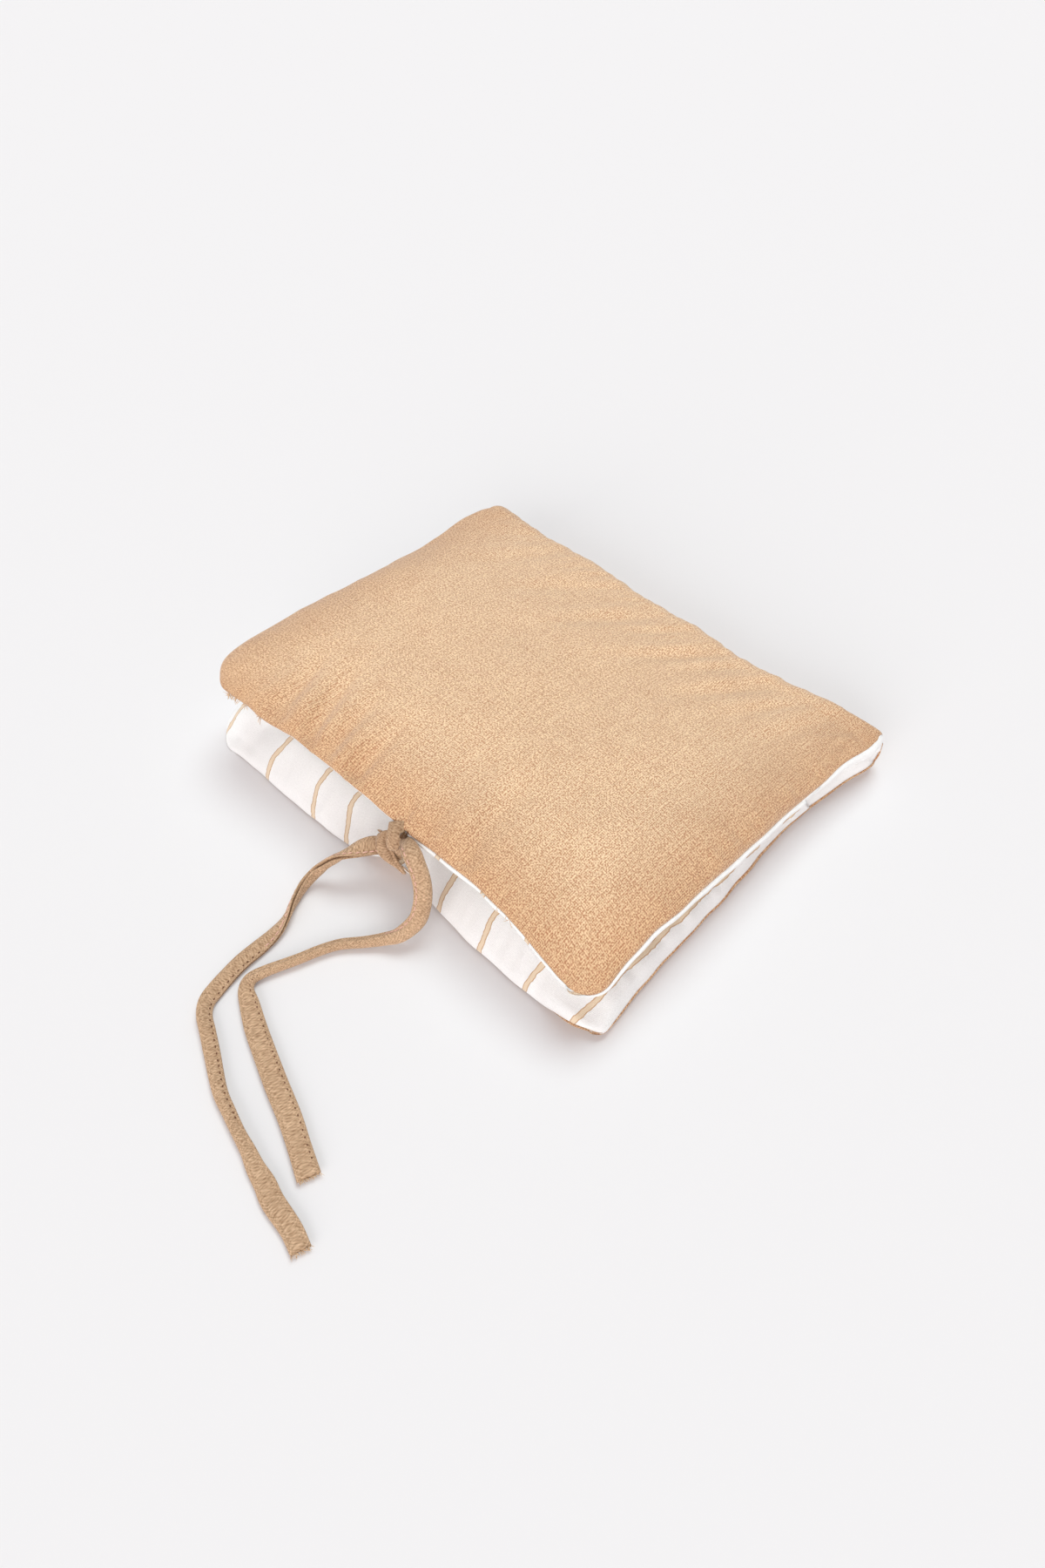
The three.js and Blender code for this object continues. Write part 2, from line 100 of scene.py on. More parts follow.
world = bpy.data.worlds.new("studio")
bpy.context.scene.world = world
world.use_nodes = True
air = world.node_tree
sky = air.nodes["Background"]
backdrop = air.nodes.new("ShaderNodeBackground")
for node, colour, strength in ((sky, (1, 0.88, 0.86), 0.45), (backdrop, (0.9, 0.888, 0.893), 1.0)):
    feed(air, node, {"Color": colour, "Strength": strength})
rays = air.nodes.new("ShaderNodeLightPath").outputs
bounced = add_math(air, "MAXIMUM", rays["Is Glossy Ray"], rays["Is Transmission Ray"])
shown = add_math(air, "MAXIMUM", rays["Is Camera Ray"], bounced)
mix_surfaces(air, shown, sky.outputs[0], backdrop.outputs[0], "World Output")

for name, from_place, spread, power, colour in (
    ("key light", (-0.14, 0.44, 1.0), 36, 1.62, (0.88, 1.01, 1.02)),
    ("front light", (0.36, -0.92, 0.26), 50, 2.15, (1, 0.99, 0.98)),
):
    bpy.ops.object.light_add(type="SUN", location=from_place)
    lamp = bpy.context.object
    lamp.name = name
    lamp.data.energy = power
    lamp.data.color = colour
    lamp.data.angle = math.radians(spread)
    lamp.rotation_euler = Vector(from_place).to_track_quat("Z", "Y").to_euler()

bpy.ops.mesh.primitive_plane_add(size=6, location=(0, 0, -0.0005))
table = bpy.context.object
table.name = "white_table"
lit_colour = (0.87, 0.856, 0.868)
even_colour = (0.87, 0.852, 0.862)
even_share = 0.12
paper, tree, shader = new_material("white table")
feed(tree, shader, {"Base Color": lit_colour, "Roughness": 0.95})
glow = tree.nodes.new("ShaderNodeEmission")
feed(tree, glow, {"Color": even_colour})
rays = tree.nodes.new("ShaderNodeLightPath").outputs
share = add_math(tree, "MULTIPLY", rays["Is Camera Ray"], even_share)
mix_surfaces(tree, share, shader.outputs[0], glow.outputs[0], "Material Output")
table.data.materials.append(paper)
bpy.context.scene.view_settings.view_transform = "Standard"

# The cut of the pad.
# Each half is a cover and a lining, sewn together right sides in, turned out and filled with
# wadding. Its front corners are rounded off, and its sides draw in a little between the corners.
# Lengths of cloth are in millimetres from here on.
MM = 0.001
front_y = -100.0
back_y = 100.0
half_width = 125.0
fold_thickness = 9.6
fold_top = 28.0
fold_middle = fold_top / 2
rim_reach = 24.0
tie_x = 13.0


def bell(distance, reach):
    return np.exp(-((distance / reach) ** 2))


def ease(value, low, high):
    share = np.clip((value - low) / (high - low), 0, 1)
    return share * share * (3 - 2 * share)


def waves(u, v, seed):
    """Smooth noise, about -1 to 1, at the points (u, v)."""
    u, v = np.broadcast_arrays(u, v)
    flat = [noise.noise((a, b, seed)) for a, b in zip(u.ravel(), v.ravel())]
    return np.reshape(flat, u.shape) * 1.6


def through(points, value):
    """A smooth curve through (place, height) points, level beyond its ends."""
    places, heights = np.array(points, dtype=float).T
    slopes = np.gradient(heights, places)
    slopes[0] = slopes[-1] = 0
    value = np.clip(value, places[0], places[-1])
    step = np.clip(np.searchsorted(places, value, side="right") - 1, 0, len(places) - 2)
    span = places[step + 1] - places[step]
    t = (value - places[step]) / span
    rise = heights[step + 1] - heights[step]
    pull = t * (1 - t) * span * ((1 - t) * slopes[step] - t * slopes[step + 1])
    bend = t * (1 - t) * (1 - 2 * t) * rise
    return heights[step] + t * rise + pull - bend


def from_fold(y):
    pad_end = back_y - fold_thickness
    return np.clip((pad_end - y) / (pad_end - front_y), 0, 1)


def lower_outside(x, y):
    right = ease(x, 70, 122) * ease(y, 40, 100)
    return 4.5 * right


def lower_inside(x, y):
    crown_y = front_y + 60
    share = np.clip((y - crown_y) / (back_y - fold_thickness - crown_y), 0, 1)
    return 15.0 + (9.0 - 15.0) * (1 - np.cos(math.pi * share)) / 2 + lower_outside(x, y)


def lower_share(x, y, back):
    """How far the seam lies from the outside of the pad towards its inside, from 0 to 1."""
    tie = 0.62 * bell(x - 5, 14) * bell(y - front_y, 13)
    near_corner = 0.2 * bell(x - 110, 9) * bell(y - front_y, 5)
    left = -0.04 * ease(-x, 40, 90)
    right = ease(x, 92, 118) * (0.19 + 0.03 * waves(y / 13, 0 * y, 3.0)) * (1 - 0.4 * back)
    return 0.05 + left + near_corner + right + tie


def upper_lean(x, y):
    away = from_fold(y)
    tilt = -x / half_width * (3.5 * away + 5.6 * (1 - away))
    corner = bell(np.hypot(x - half_width, y - front_y), 30)
    tie = bell(np.hypot((x - tie_x) / 1.15, y - front_y), 20)
    return tilt - 11 * corner - 5 * tie


def upper_outside(x, y):
    away = from_fold(y)
    crown = from_fold(front_y + 42)
    rise = np.sin(math.pi / 2 * np.clip(away / crown, 0, 1))
    return fold_top + 1.2 * (1 - away) + 17.8 * rise + upper_lean(x, y)


def upper_inside(x, y):
    return fold_top - 8.5 + 17 * from_fold(y) + upper_lean(x, y)


def upper_share(x, y, back):
    return 0.55 - 0.4 * back


# The outline of each half. Its sides are (y, distance from the middle), its corners are the radii at
# the left and the right, and its front is (x, how far back the seam lies). Inward is the way to the
# lining, up or down, and slope is how much of the front rises as a slope and not as a round rim.
lower_half = {
    "inward": 1,
    "outside": lower_outside,
    "inside": lower_inside,
    "share": lower_share,
    "slope": 0.8,
    "slope_reach": 20.0,
    "left": [(-100, 127.5), (-90, 127.5), (-78, 126.5), (-40, 122), (0, 118.5), (50, 117.5), (100, 117)],
    "right": [
        (-100, 126.6), (-88, 125.4), (-70, 123.2), (-45, 121.9), (-11, 120.2), (15, 118.4), (33, 117.2),
        (55, 118), (79, 122), (100, 126.5),
    ],
    "corners": (21, 5.5),
    "front": [
        (-118, 0), (-85, -0.9), (-55, -1.5), (-22, 0.2), (0, 3.6), (13, 5), (26, 2.2), (50, -0.2),
        (75, -1.2), (105, -1.9), (117, -1.3), (125, 1.8),
    ],
}
upper_half = {
    "inward": -1,
    "outside": upper_outside,
    "inside": upper_inside,
    "share": upper_share,
    "slope": 0.0,
    "slope_reach": 24.0,
    "left": [
        (-100, 122.2), (-88, 122), (-78, 121.4), (-60, 121.5), (-40, 121), (-5, 119), (24, 118.5),
        (72, 120.5), (100, 119),
    ],
    "right": [(-100, 122.2), (-72, 121.4), (-45, 122.4), (-10, 123), (30, 122), (70, 123.2), (100, 126)],
    "corners": (21, 12),
    "front": [
        (-125, 2.4), (-108, 2.6), (-92, 3.2), (-84, 4), (-73, 5.1), (-50, 5.3), (0, 6), (80, 3.2),
        (108, 0.3), (125, -0.6),
    ],
}


def side_x(half, side, y, from_front):
    """How far out the side of a half is at y, with its rounded corners and a little waver."""
    sign = -1 if side == "left" else 1
    radius = half["corners"][0 if side == "left" else 1]
    rounding = radius - np.sqrt(radius**2 - np.clip(radius - from_front, 0, radius) ** 2)
    fold_radius = 17 if side == "left" else 2.0
    near_fold = np.clip((y - back_y + fold_radius) / fold_radius, 0, 0.85)
    rounding = rounding + fold_radius * (1 - np.sqrt(1 - near_fold**2))
    wobble = 0.45 * waves(y / 13, sign * 7, half["inward"] + 0.5)
    return sign * (through(half[side], y) - rounding + wobble)


def front_line(half, across):
    wobble = 0.45 * waves(across * 9, 0.5, half["inward"] + 4.5)
    return front_y + through(half["front"], across * half_width) + wobble


def rim_height(share):
    return np.sqrt(1 - (1 - np.clip(share, 0, 1)) ** 2)


rim_rows = 17
arc_rows = 10
back_rows = 6
fold_turn = 10.0
tight_turn = 3.5
inside_turn = 2.5
fold_bulge = 4.2
fold_rim = 7.0
overlap = 0.8
roll_reach = 3.6


def cloth_grid(half, face, pitch, relief, roll=None, window=None):
    """Points of one face of a half, from its front seam round the fold to the middle of its back.

    relief lifts the cloth off its path, and roll pushes it out past the seam at the rim. A window
    keeps a strip from one y to another. Returns the points, and each one's place on the flat cloth.
    """
    rim = rim_reach * (1 - np.cos(np.linspace(0, math.pi / 2, rim_rows)))
    longest = back_y - fold_turn - front_y
    count = round((longest - rim_reach) / pitch)
    run = np.concatenate([rim, np.linspace(rim_reach, longest, count + 1)[1:]]) / longest
    arc = np.linspace(0, math.pi / 2, arc_rows + 1)[1:]
    back = np.linspace(0, 1, back_rows + 1)[1:]
    rows = len(run) + len(arc) + len(back)
    side = -1 + rim / half_width
    count = round((half_width - rim_reach) * 2 / pitch)
    across = np.concatenate([side, np.linspace(side[-1], -side[-1], count)[1:-1], -side[::-1]])
    across = np.tile(across, (rows, 1))
    start = front_line(half, across)
    run_share = np.ones(across.shape)
    run_share[: len(run)] = run[:, None]
    angle = np.zeros(across.shape)
    angle[len(run) :] = math.pi / 2
    angle[len(run) : len(run) + len(arc)] = arc[:, None]
    tight = ease(across * half_width, 60, 118)
    outside_turn = fold_turn - (fold_turn - tight_turn) * tight
    turns = {"outside": (outside_turn, 0.0), "inside": (inside_turn, fold_thickness)}
    drop = np.zeros(across.shape)
    drop[len(run) + len(arc) :] = back[:, None]
    paths = {}
    for name, (turn, setback) in turns.items():
        turn_y = back_y + fold_bulge * ease(across * half_width, 30, 120) - setback - turn
        y = turn_y.copy()
        y[: len(run)] = (start + run_share * (turn_y - start))[: len(run)]
        left = side_x(half, "left", y, y - start)
        right = side_x(half, "right", y, y - start)
        x = left + (right - left) * (across + 1) / 2
        z = half[name](x, y) + half["inward"] * turn * (1 - np.cos(angle))
        z = z + (fold_middle + overlap * half["inward"] - z) * drop
        paths[name] = np.stack([x, y + turn * np.sin(angle), z], axis=-1)
    x, y = paths["outside"][..., 0], paths["outside"][..., 1]
    at_fold = ease(y, back_y - 55, back_y - 8)
    share = half["share"](x, y, at_fold)[..., None]
    seam = paths["outside"] + (paths["inside"] - paths["outside"]) * share
    edge_side = (1 - np.abs(across)) * (right - left) / 2
    edge_front = y - start
    side_reach = rim_reach + (fold_rim - rim_reach) * at_fold
    sloped = 1 - (1 - np.clip(edge_front / half["slope_reach"], 0, 1)) ** 1.6
    front_swell = half["slope"] * sloped + (1 - half["slope"]) * rim_height(edge_front / rim_reach)
    swell = rim_height(edge_side / side_reach) * front_swell
    points = seam + (paths[face] - seam) * swell[..., None]
    down = np.gradient(points, axis=0)
    over = np.gradient(points, axis=1)
    normal = np.cross(over, down)
    normal /= np.maximum(np.linalg.norm(normal, axis=-1, keepdims=True), 1e-9)
    outward = half["inward"] * (-1 if face == "outside" else 1)
    if normal[rows // 2, across.shape[1] // 2, 2] * outward < 0:
        normal = -normal
    length = np.cumsum(np.linalg.norm(np.diff(points, axis=0, prepend=points[:1]), axis=-1), axis=0)
    middle = points[rows // 2]
    width = np.cumsum(np.linalg.norm(np.diff(middle, axis=0, prepend=middle[:1]), axis=-1))
    width = width - width[len(width) // 2] - (middle[:, 0] - middle[len(width) // 2, 0])
    cloth = np.stack([points[..., 0] + width, length], axis=-1)
    edge = np.minimum(edge_side, edge_front)
    if roll is not None:
        amount = roll(x, y, at_fold)
        for axis, distance, sign in ((0, edge_side, np.sign(across)), (1, edge_front, -1.0)):
            hump = np.sin(math.pi * np.sqrt(np.clip(distance / roll_reach, 0, 1)))
            points[..., axis] += sign * amount * hump
    points = points + normal * relief(x, y, edge, edge_side, edge_front)[..., None]
    if window is not None:
        first, last = (int(np.argmin(np.abs(y[:, rows // 2] - end))) for end in window)
        points, cloth = points[first : last + 1], cloth[first : last + 1]
    return points, cloth


def new_piece(name, points, faces, material, flat=None):
    """A smooth mesh of points in millimetres, with each one's place on the flat cloth."""
    mesh = bpy.data.meshes.new(name)
    mesh.from_pydata((np.reshape(points, (-1, 3)) * MM).tolist(), [], faces)
    if flat is not None:
        layer = mesh.uv_layers.new(name="cloth")
        loops = np.empty(len(mesh.loops), dtype=np.int64)
        mesh.loops.foreach_get("vertex_index", loops)
        layer.data.foreach_set("uv", flat[loops].astype(np.float32).ravel())
    mesh.materials.append(material)
    mesh.shade_smooth()
    piece = bpy.data.objects.new(name, mesh)
    bpy.context.collection.objects.link(piece)
    return piece


def sewn_cloth(name, half, face, material, pitch, relief, roll=None, window=None, thickness=0.6):
    """One cloth of a half, given its thickness inwards. Returns it and its grid of points."""
    points, cloth = cloth_grid(half, face, pitch, relief, roll, window)
    points[..., 2] = np.maximum(points[..., 2], 0)
    rows, columns = points.shape[:2]
    index = np.arange(rows * columns).reshape(rows, columns)
    quads = np.stack([index[:-1, :-1], index[:-1, 1:], index[1:, 1:], index[1:, :-1]], axis=-1)
    quads = quads.reshape(-1, 4)
    if (half["inward"] > 0) == (face == "outside"):
        quads = quads[:, ::-1]
    piece = new_piece(name, points, quads.tolist(), material, cloth.reshape(-1, 2))
    bpy.context.view_layer.objects.active = piece
    solidify = piece.modifiers.new("thickness", "SOLIDIFY")
    solidify.thickness = thickness * MM
    solidify.offset = -1
    bpy.ops.object.modifier_apply(modifier=solidify.name)
    return piece, points


# The sand cotton.
# A plain-woven cotton with threads that show both ways, a bit more than one a millimetre, so that
# light rakes a fine rib out of it. It is piece-dyed, with paler slubs and a faint mottle.
def add_noise(tree, vector, scale, detail, stretch=(1, 1, 1)):
    mapping = tree.nodes.new("ShaderNodeMapping")
    mapping.inputs["Scale"].default_value = stretch
    feed(tree, mapping, {"Vector": vector})
    node = tree.nodes.new("ShaderNodeTexNoise")
    feed(tree, node, {"Scale": scale, "Detail": detail, "Vector": mapping.outputs[0]})
    return node.outputs["Fac"]


def add_level_noise(tree, *choices):
    """Noise that swings about 0, where the plain one swings about a half."""
    return add_math(tree, "SUBTRACT", add_noise(tree, *choices), 0.5)


def add_mix(tree, factor, low, high, kind="MIX"):
    node = tree.nodes.new("ShaderNodeMix")
    node.data_type = "RGBA"
    node.blend_type = kind
    feed(tree, node, {"Factor": factor, "A": low, "B": high})
    return node.outputs["Result"]


def add_fade(tree, value, low, high, kind="SMOOTHSTEP"):
    """1 where the value is low, 0 where it is high, and a slope between."""
    node = tree.nodes.new("ShaderNodeMapRange")
    node.interpolation_type = kind
    feed(tree, node, {"Value": value, "From Min": low, "From Max": high, "To Min": 1, "To Max": 0})
    return node.outputs[0]


def add_cloth_map(tree):
    """Each point's place on the flat cloth, in millimetres."""
    node = tree.nodes.new("ShaderNodeUVMap")
    node.uv_map = "cloth"
    return node.outputs["UV"]


def base_colour(material):
    """A material's nodes, its shader, and what feeds its colour so far."""
    tree = material.node_tree
    shader = tree.nodes["Principled BSDF"]
    return tree, shader, shader.inputs["Base Color"].links[0].from_socket


def pattern_group(name, numbers, results):
    """An empty group. Its inputs are the flat cloth, which it splits, and further numbers."""
    group = bpy.data.node_groups.new(name, "ShaderNodeTree")
    group.interface.new_socket("Cloth", in_out="INPUT", socket_type="NodeSocketVector")
    for names, way in ((numbers, "INPUT"), (results, "OUTPUT")):
        for socket in names:
            group.interface.new_socket(socket, in_out=way, socket_type="NodeSocketFloat")
    given = group.nodes.new("NodeGroupInput").outputs
    split = group.nodes.new("ShaderNodeSeparateXYZ")
    feed(group, split, {0: given["Cloth"]})
    return group, given, group.nodes.new("NodeGroupOutput"), split.outputs


def weave_group():
    group, given, wanted, place_on = pattern_group("woven cotton", ["Threads"], ["Height", "Tone", "Mottle"])
    cloth = given["Cloth"]
    drift = add_math(group, "MULTIPLY", add_noise(group, cloth, 0.03, 1), 5.0)
    threads = []
    for axis, stretch, strength in (("X", (1, 0.05, 1), 1.0), ("Y", (0.05, 1, 1), 0.75)):
        place = add_math(group, "MULTIPLY_ADD", place_on[axis], given["Threads"], drift)
        ridge = add_math(group, "SINE", add_math(group, "MULTIPLY", place, 2 * math.pi))
        slub = add_math(group, "POWER", add_noise(group, cloth, 1.1, 2, stretch), 2.0)
        slub = add_math(group, "MULTIPLY", slub, 2.4 * strength)
        threads.append(add_math(group, "MULTIPLY", ridge, slub))
    both = add_math(group, "ADD", *threads)
    height = add_math(group, "MULTIPLY_ADD", add_level_noise(group, cloth, 1.9, 3), 2.6, both)
    height = add_math(group, "MULTIPLY_ADD", height, 0.3, 0.5)
    tone = height
    grains = ((0.9, (1, 0.08, 1), 0.6), (0.9, (0.08, 1, 1), 0.45), (1.3, (1, 1, 1), 3.5))
    for scale, stretch, strength in grains:
        grain = add_level_noise(group, cloth, scale, 1, stretch)
        tone = add_math(group, "MULTIPLY_ADD", grain, strength, tone)
    broad = add_noise(group, cloth, 0.022, 3)
    fine = add_noise(group, cloth, 0.35, 3)
    blotch = add_math(group, "MULTIPLY_ADD", fine, 0.4, add_math(group, "MULTIPLY", broad, 0.6))
    feed(group, wanted, {"Height": height, "Tone": tone, "Mottle": blotch})
    return group


woven = weave_group()
thread_height = 0.0003


def cloth_material(name, dark, light, threads, grain, bump, sheen, shine=0.2, roughness=0.9):
    """A woven cloth, its thread relief setting both its colour and its bump."""
    material, tree, shader = new_material(name)
    weave = tree.nodes.new("ShaderNodeGroup")
    weave.node_tree = woven
    feed(tree, weave, {"Threads": threads, "Cloth": add_cloth_map(tree)})
    shade = add_math(tree, "MULTIPLY", weave.outputs["Tone"], grain)
    shade = add_math(tree, "MULTIPLY_ADD", weave.outputs["Mottle"], 1 - grain, shade)
    relief = tree.nodes.new("ShaderNodeBump")
    feed(tree, relief, {"Strength": bump, "Distance": thread_height, "Height": weave.outputs["Height"]})
    feed(tree, shader, {"Base Color": add_mix(tree, shade, dark, light), "Normal": relief.outputs[0]})
    feed(tree, shader, {"Roughness": roughness, "Specular IOR Level": shine})
    feed(tree, shader, {"Sheen Weight": sheen, "Sheen Roughness": 0.5})
    return material


sand_cotton = cloth_material(
    "sand cotton", dark=(0.52, 0.225, 0.085), light=(1.0, 0.745, 0.465), threads=1.08, grain=1.0, bump=0.85,
    sheen=0.35, shine=0.9, roughness=0.58,
)
# Painted shade: the cover's colour is made darker within this many millimetres of its seams and sides, for
# the rim that rounds down away from the light.
edge_shade_within = 46
tree, shader, plain = base_colour(sand_cotton)
split = tree.nodes.new("ShaderNodeSeparateXYZ")
feed(tree, split, {0: add_cloth_map(tree)})
from_side = add_math(tree, "SUBTRACT", half_width, add_math(tree, "ABSOLUTE", split.outputs["X"]))
painted_edge_shade = add_fade(tree, add_math(tree, "MINIMUM", from_side, split.outputs["Y"]), 0, edge_shade_within)
feed(tree, shader, {"Base Color": add_mix(tree, painted_edge_shade, plain, (0.81, 0.71, 0.61), "MULTIPLY")})

# The lower cover.
# The outer cloth of the half that lies on the table. It is flat underneath, and shows only as a
# thin edge along the right side and at the near corner. It turns up behind, into the fold.


def lower_cover_relief(x, y, edge, edge_side, edge_front):
    raised = ease(y, 86, 98)
    return raised * 0.6 * waves(x / 11, y / 30, 8.0) * np.clip(edge_side / 5, 0, 1)


def lower_cover_roll(x, y, at_fold):
    at_corner = bell(np.hypot(x - half_width, y - front_y), 9)
    return (1.3 - at_corner + bell(y - 15, 40)) * ease(x, 98, 112)


lower_cover, _ = sewn_cloth(
    "lower_cover_cloth", lower_half, "outside", sand_cotton, 2.5, lower_cover_relief, lower_cover_roll
)
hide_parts("lower_cover", "fold_cover")
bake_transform(lower_cover)

# The striped muslin.
# White cotton printed with thin tan lines that run from the front to the fold, an irregular inch
# apart: a paler band between two darker, wavering strokes. Each line is x, and how far it leans to
# the right as it comes down to the seam.
stripe_places = (
    (-121, -3), (-82.8, 1.4), (-53, 6), (-32, 7.4), (4, 2.4), (32.4, 0.6), (59, 1.9), (90, -1.5),
    (116.8, -1.4),
)
half_stripe = 1.15
half_stroke = 0.3
lean_within = (1, 22)


def stripe_group():
    group, given, wanted, place_on = pattern_group("printed lines", [], ["Band", "Strokes"])

    def drift(scale, reach, stretch):
        return add_math(group, "MULTIPLY", add_level_noise(group, given["Cloth"], scale, 2, stretch), reach)

    waver = add_math(group, "ADD", drift(0.05, 5.0, (0.3, 1, 1)), drift(0.35, 1.1, (0.3, 1, 1)))
    lean = add_fade(group, place_on["Y"], *lean_within)
    place = add_math(group, "ADD", place_on["X"], waver)
    nearest = None
    for centre, reach in stripe_places:
        middle = add_math(group, "MULTIPLY_ADD", lean, reach, centre)
        gap = add_math(group, "ABSOLUTE", add_math(group, "SUBTRACT", place, middle))
        nearest = gap if nearest is None else add_math(group, "MINIMUM", nearest, gap)
    half_band = add_math(group, "ADD", drift(0.22, 0.9, (0.2, 1, 1)), half_stripe)
    band = add_fade(group, nearest, add_math(group, "SUBTRACT", half_band, 0.15), half_band, "LINEAR")
    off_line = add_math(group, "ABSOLUTE", add_math(group, "SUBTRACT", nearest, half_band))
    thick = add_math(group, "ADD", drift(0.8, 0.3, (1, 1, 1)), half_stroke)
    stroke = add_fade(group, off_line, add_math(group, "MULTIPLY", thick, 0.4), thick, "LINEAR")
    feed(group, wanted, {"Band": band, "Strokes": stroke})
    return group


striped_muslin = cloth_material(
    "striped muslin", dark=(0.92, 0.918, 0.915), light=(1.0, 0.998, 0.993), threads=1.5, grain=0.5, bump=0.5,
    sheen=0.5,
)
tree, shader, ground = base_colour(striped_muslin)
lines = tree.nodes.new("ShaderNodeGroup")
lines.node_tree = stripe_group()
feed(tree, lines, {"Cloth": add_cloth_map(tree)})
ground = add_mix(tree, lines.outputs["Band"], ground, (0.84, 0.68, 0.5))
ground = add_mix(tree, lines.outputs["Strokes"], ground, (0.6, 0.38, 0.21))
feed(tree, shader, {"Base Color": ground})

# The lower lining and its pocket.
# The lining swells up from the front seam into a soft dome over the wadding, with small puckers
# where the seam gathers it, and runs back under the other half into the fold. The pocket is a
# second layer of the same cloth, sewn into the front and sides and open towards the fold.


def lining_gathers(x, y, edge, edge_side, edge_front, seed):
    along_front = bell(edge_front - 6, 7) * waves((x + 0.3 * y) / 5.5, y / 22, seed) * 0.6
    along_side = bell(edge_side - 6, 7) * waves(y / 5.5, x / 22, seed + 1) * 0.5
    soft = waves(x / 28, y / 28, seed + 2)
    return np.clip(edge / 4, 0, 1) * (along_front + along_side + soft)


def pocket_bag(x, y, edge, seed):
    """How far a pocket stands off the lining, fuller towards its mouth."""
    return 1.2 * np.clip(edge / 3, 0.1, 1) + 0.5 * ease(y, -60, 20) * (1 + waves(x / 40, y / 60, seed))


def lower_lining_relief(x, y, edge, edge_side, edge_front):
    hollow = -5.2 * bell(np.hypot((x + 102) / 12, (y + 85) / 10), 1)
    hollow = hollow - 1.5 * bell(x + 73, 9) * bell(y + 88, 10)
    near_tie = -3.0 * bell(np.hypot((x - tie_x) / 1.2, y - front_y - 4), 10)
    height = lining_gathers(x, y, edge, edge_side, edge_front, 5.0)
    return height + np.clip(edge / 4, 0, 1) * (hollow + near_tie)


def lower_pocket_relief(x, y, edge, edge_side, edge_front):
    return lower_lining_relief(x, y, edge, edge_side, edge_front) + pocket_bag(x, y, edge, 31.0)


def lower_lining_roll(x, y, at_fold):
    return 0.3 * (1 - 2 * ease(x, 98, 112)) + 0.6 * ease(-x, 92, 110) + 0.8 * at_fold * (1 - ease(x, 60, 98))


lower_lining, _ = sewn_cloth(
    "lower_lining_cloth", lower_half, "inside", striped_muslin, 1.6, lower_lining_relief, lower_lining_roll
)
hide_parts("lower_lining", "lower_wadding", "fold_lining", "fold_wadding")
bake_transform(lower_lining)

pocket_window = (-110, 40)
lower_pocket, _ = sewn_cloth(
    "lower_pocket_cloth", lower_half, "inside", striped_muslin, 1.25, lower_pocket_relief, lower_lining_roll,
    pocket_window,
)
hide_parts("lower_pocket")
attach(lower_pocket, "lower_half")

# Threads.
# Stitches, loose ends and fibres are short round threads, tapered at both ends. A sewing thread is
# two or three times as thick as a fibre of the cloth.
thread_taper = 0.35
askew = (0.31, 0.17, 0.93)


def thread_piece(name, threads, material, sides=5):
    """Short lengths of thread, each a list of points with a radius, as one mesh."""
    skin, faces = [], []
    for points, radius in threads:
        points = np.array(points, dtype=float)
        along = np.gradient(points, axis=0)
        along /= np.linalg.norm(along, axis=1, keepdims=True)
        over = np.cross(along, askew)
        over /= np.linalg.norm(over, axis=1, keepdims=True)
        out = np.cross(along, over)
        base = len(skin)
        thick = radius * np.sin(np.linspace(thread_taper, math.pi - thread_taper, len(points)))
        for step, middle in enumerate(points):
            for side in range(sides):
                angle = 2 * math.pi * side / sides
                round_it = math.cos(angle) * over[step] + math.sin(angle) * out[step]
                skin.append(middle + thick[step] * round_it)
        for step in range(len(points) - 1):
            for side in range(sides):
                a = base + step * sides + side
                b = base + step * sides + (side + 1) % sides
                faces.append((a, b, b + sides, a + sides))
        faces.append([base + side for side in reversed(range(sides))])
        faces.append([base + (len(points) - 1) * sides + side for side in range(sides)])
    return new_piece(name, skin, faces, material)


def thread_material(name, dark, light):
    material, tree, shader = new_material(name)
    place = tree.nodes.new("ShaderNodeTexCoord")
    shade = add_noise(tree, place.outputs["Object"], 900, 2)
    feed(tree, shader, {"Base Color": add_mix(tree, shade, dark, light), "Roughness": 0.8})
    return material


lining_thread = thread_material("lining thread", (0.72, 0.7, 0.68), (0.95, 0.94, 0.92))

# The pocket hems.
# The mouth of each pocket is turned under twice and sewn down with one line of stitches. It lies
# across the pad, about twice as thick as the cloth.
hem_window = (39.4, 50)
sewn_row = 3
stitch_length = 2.4
stitch_rise = (-0.2, 0.08, 0.12, 0.08, -0.2)


def hem_stitches(name, points, body):
    """A line of stitches on the finished side of a hem, from its grid of points."""
    row = points[sewn_row]
    into = np.cross(points[sewn_row + 1] - points[sewn_row - 1], np.gradient(row, axis=0))
    into *= -np.sign(into[len(row) // 2, 2]) * (1 if body == "lower_half" else -1)
    into /= np.linalg.norm(into, axis=1, keepdims=True)
    along = np.concatenate([[0], np.cumsum(np.linalg.norm(np.diff(row, axis=0), axis=1))])
    threads = []
    for start in np.arange(6, along[-1] - 8, 3.0):
        spots = np.linspace(start, start + stitch_length, len(stitch_rise))
        lie = np.array([np.interp(spots, along, row[:, axis]) for axis in range(3)]).T
        off = np.array([np.interp(start, along, into[:, axis]) for axis in range(3)])
        threads.append((lie - np.outer(stitch_rise, off), 0.2))
    stitches = thread_piece(name, threads, lining_thread)
    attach(stitches, body)
    return stitches


def pocket_hem(half, body, name, pocket_relief):
    """The hem at the mouth of a pocket, sewn down, which completes the pocket's sheet."""

    def raised(x, y, edge, edge_side, edge_front):
        return pocket_relief(x, y, edge, edge_side, edge_front) + 0.9 * np.clip(edge / 3, 0.1, 1)

    hem, points = sewn_cloth(
        name, half, "inside", striped_muslin, 1.6, raised, window=hem_window, thickness=1.3
    )
    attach(hem, body)
    stitches = hem_stitches(f"{name}_stitches", points, body)
    return hem


lower_hem = pocket_hem(
    lower_half, "lower_half", "lower_pocket_hem_cloth", lower_pocket_relief
)
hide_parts("lower_pocket_hem")

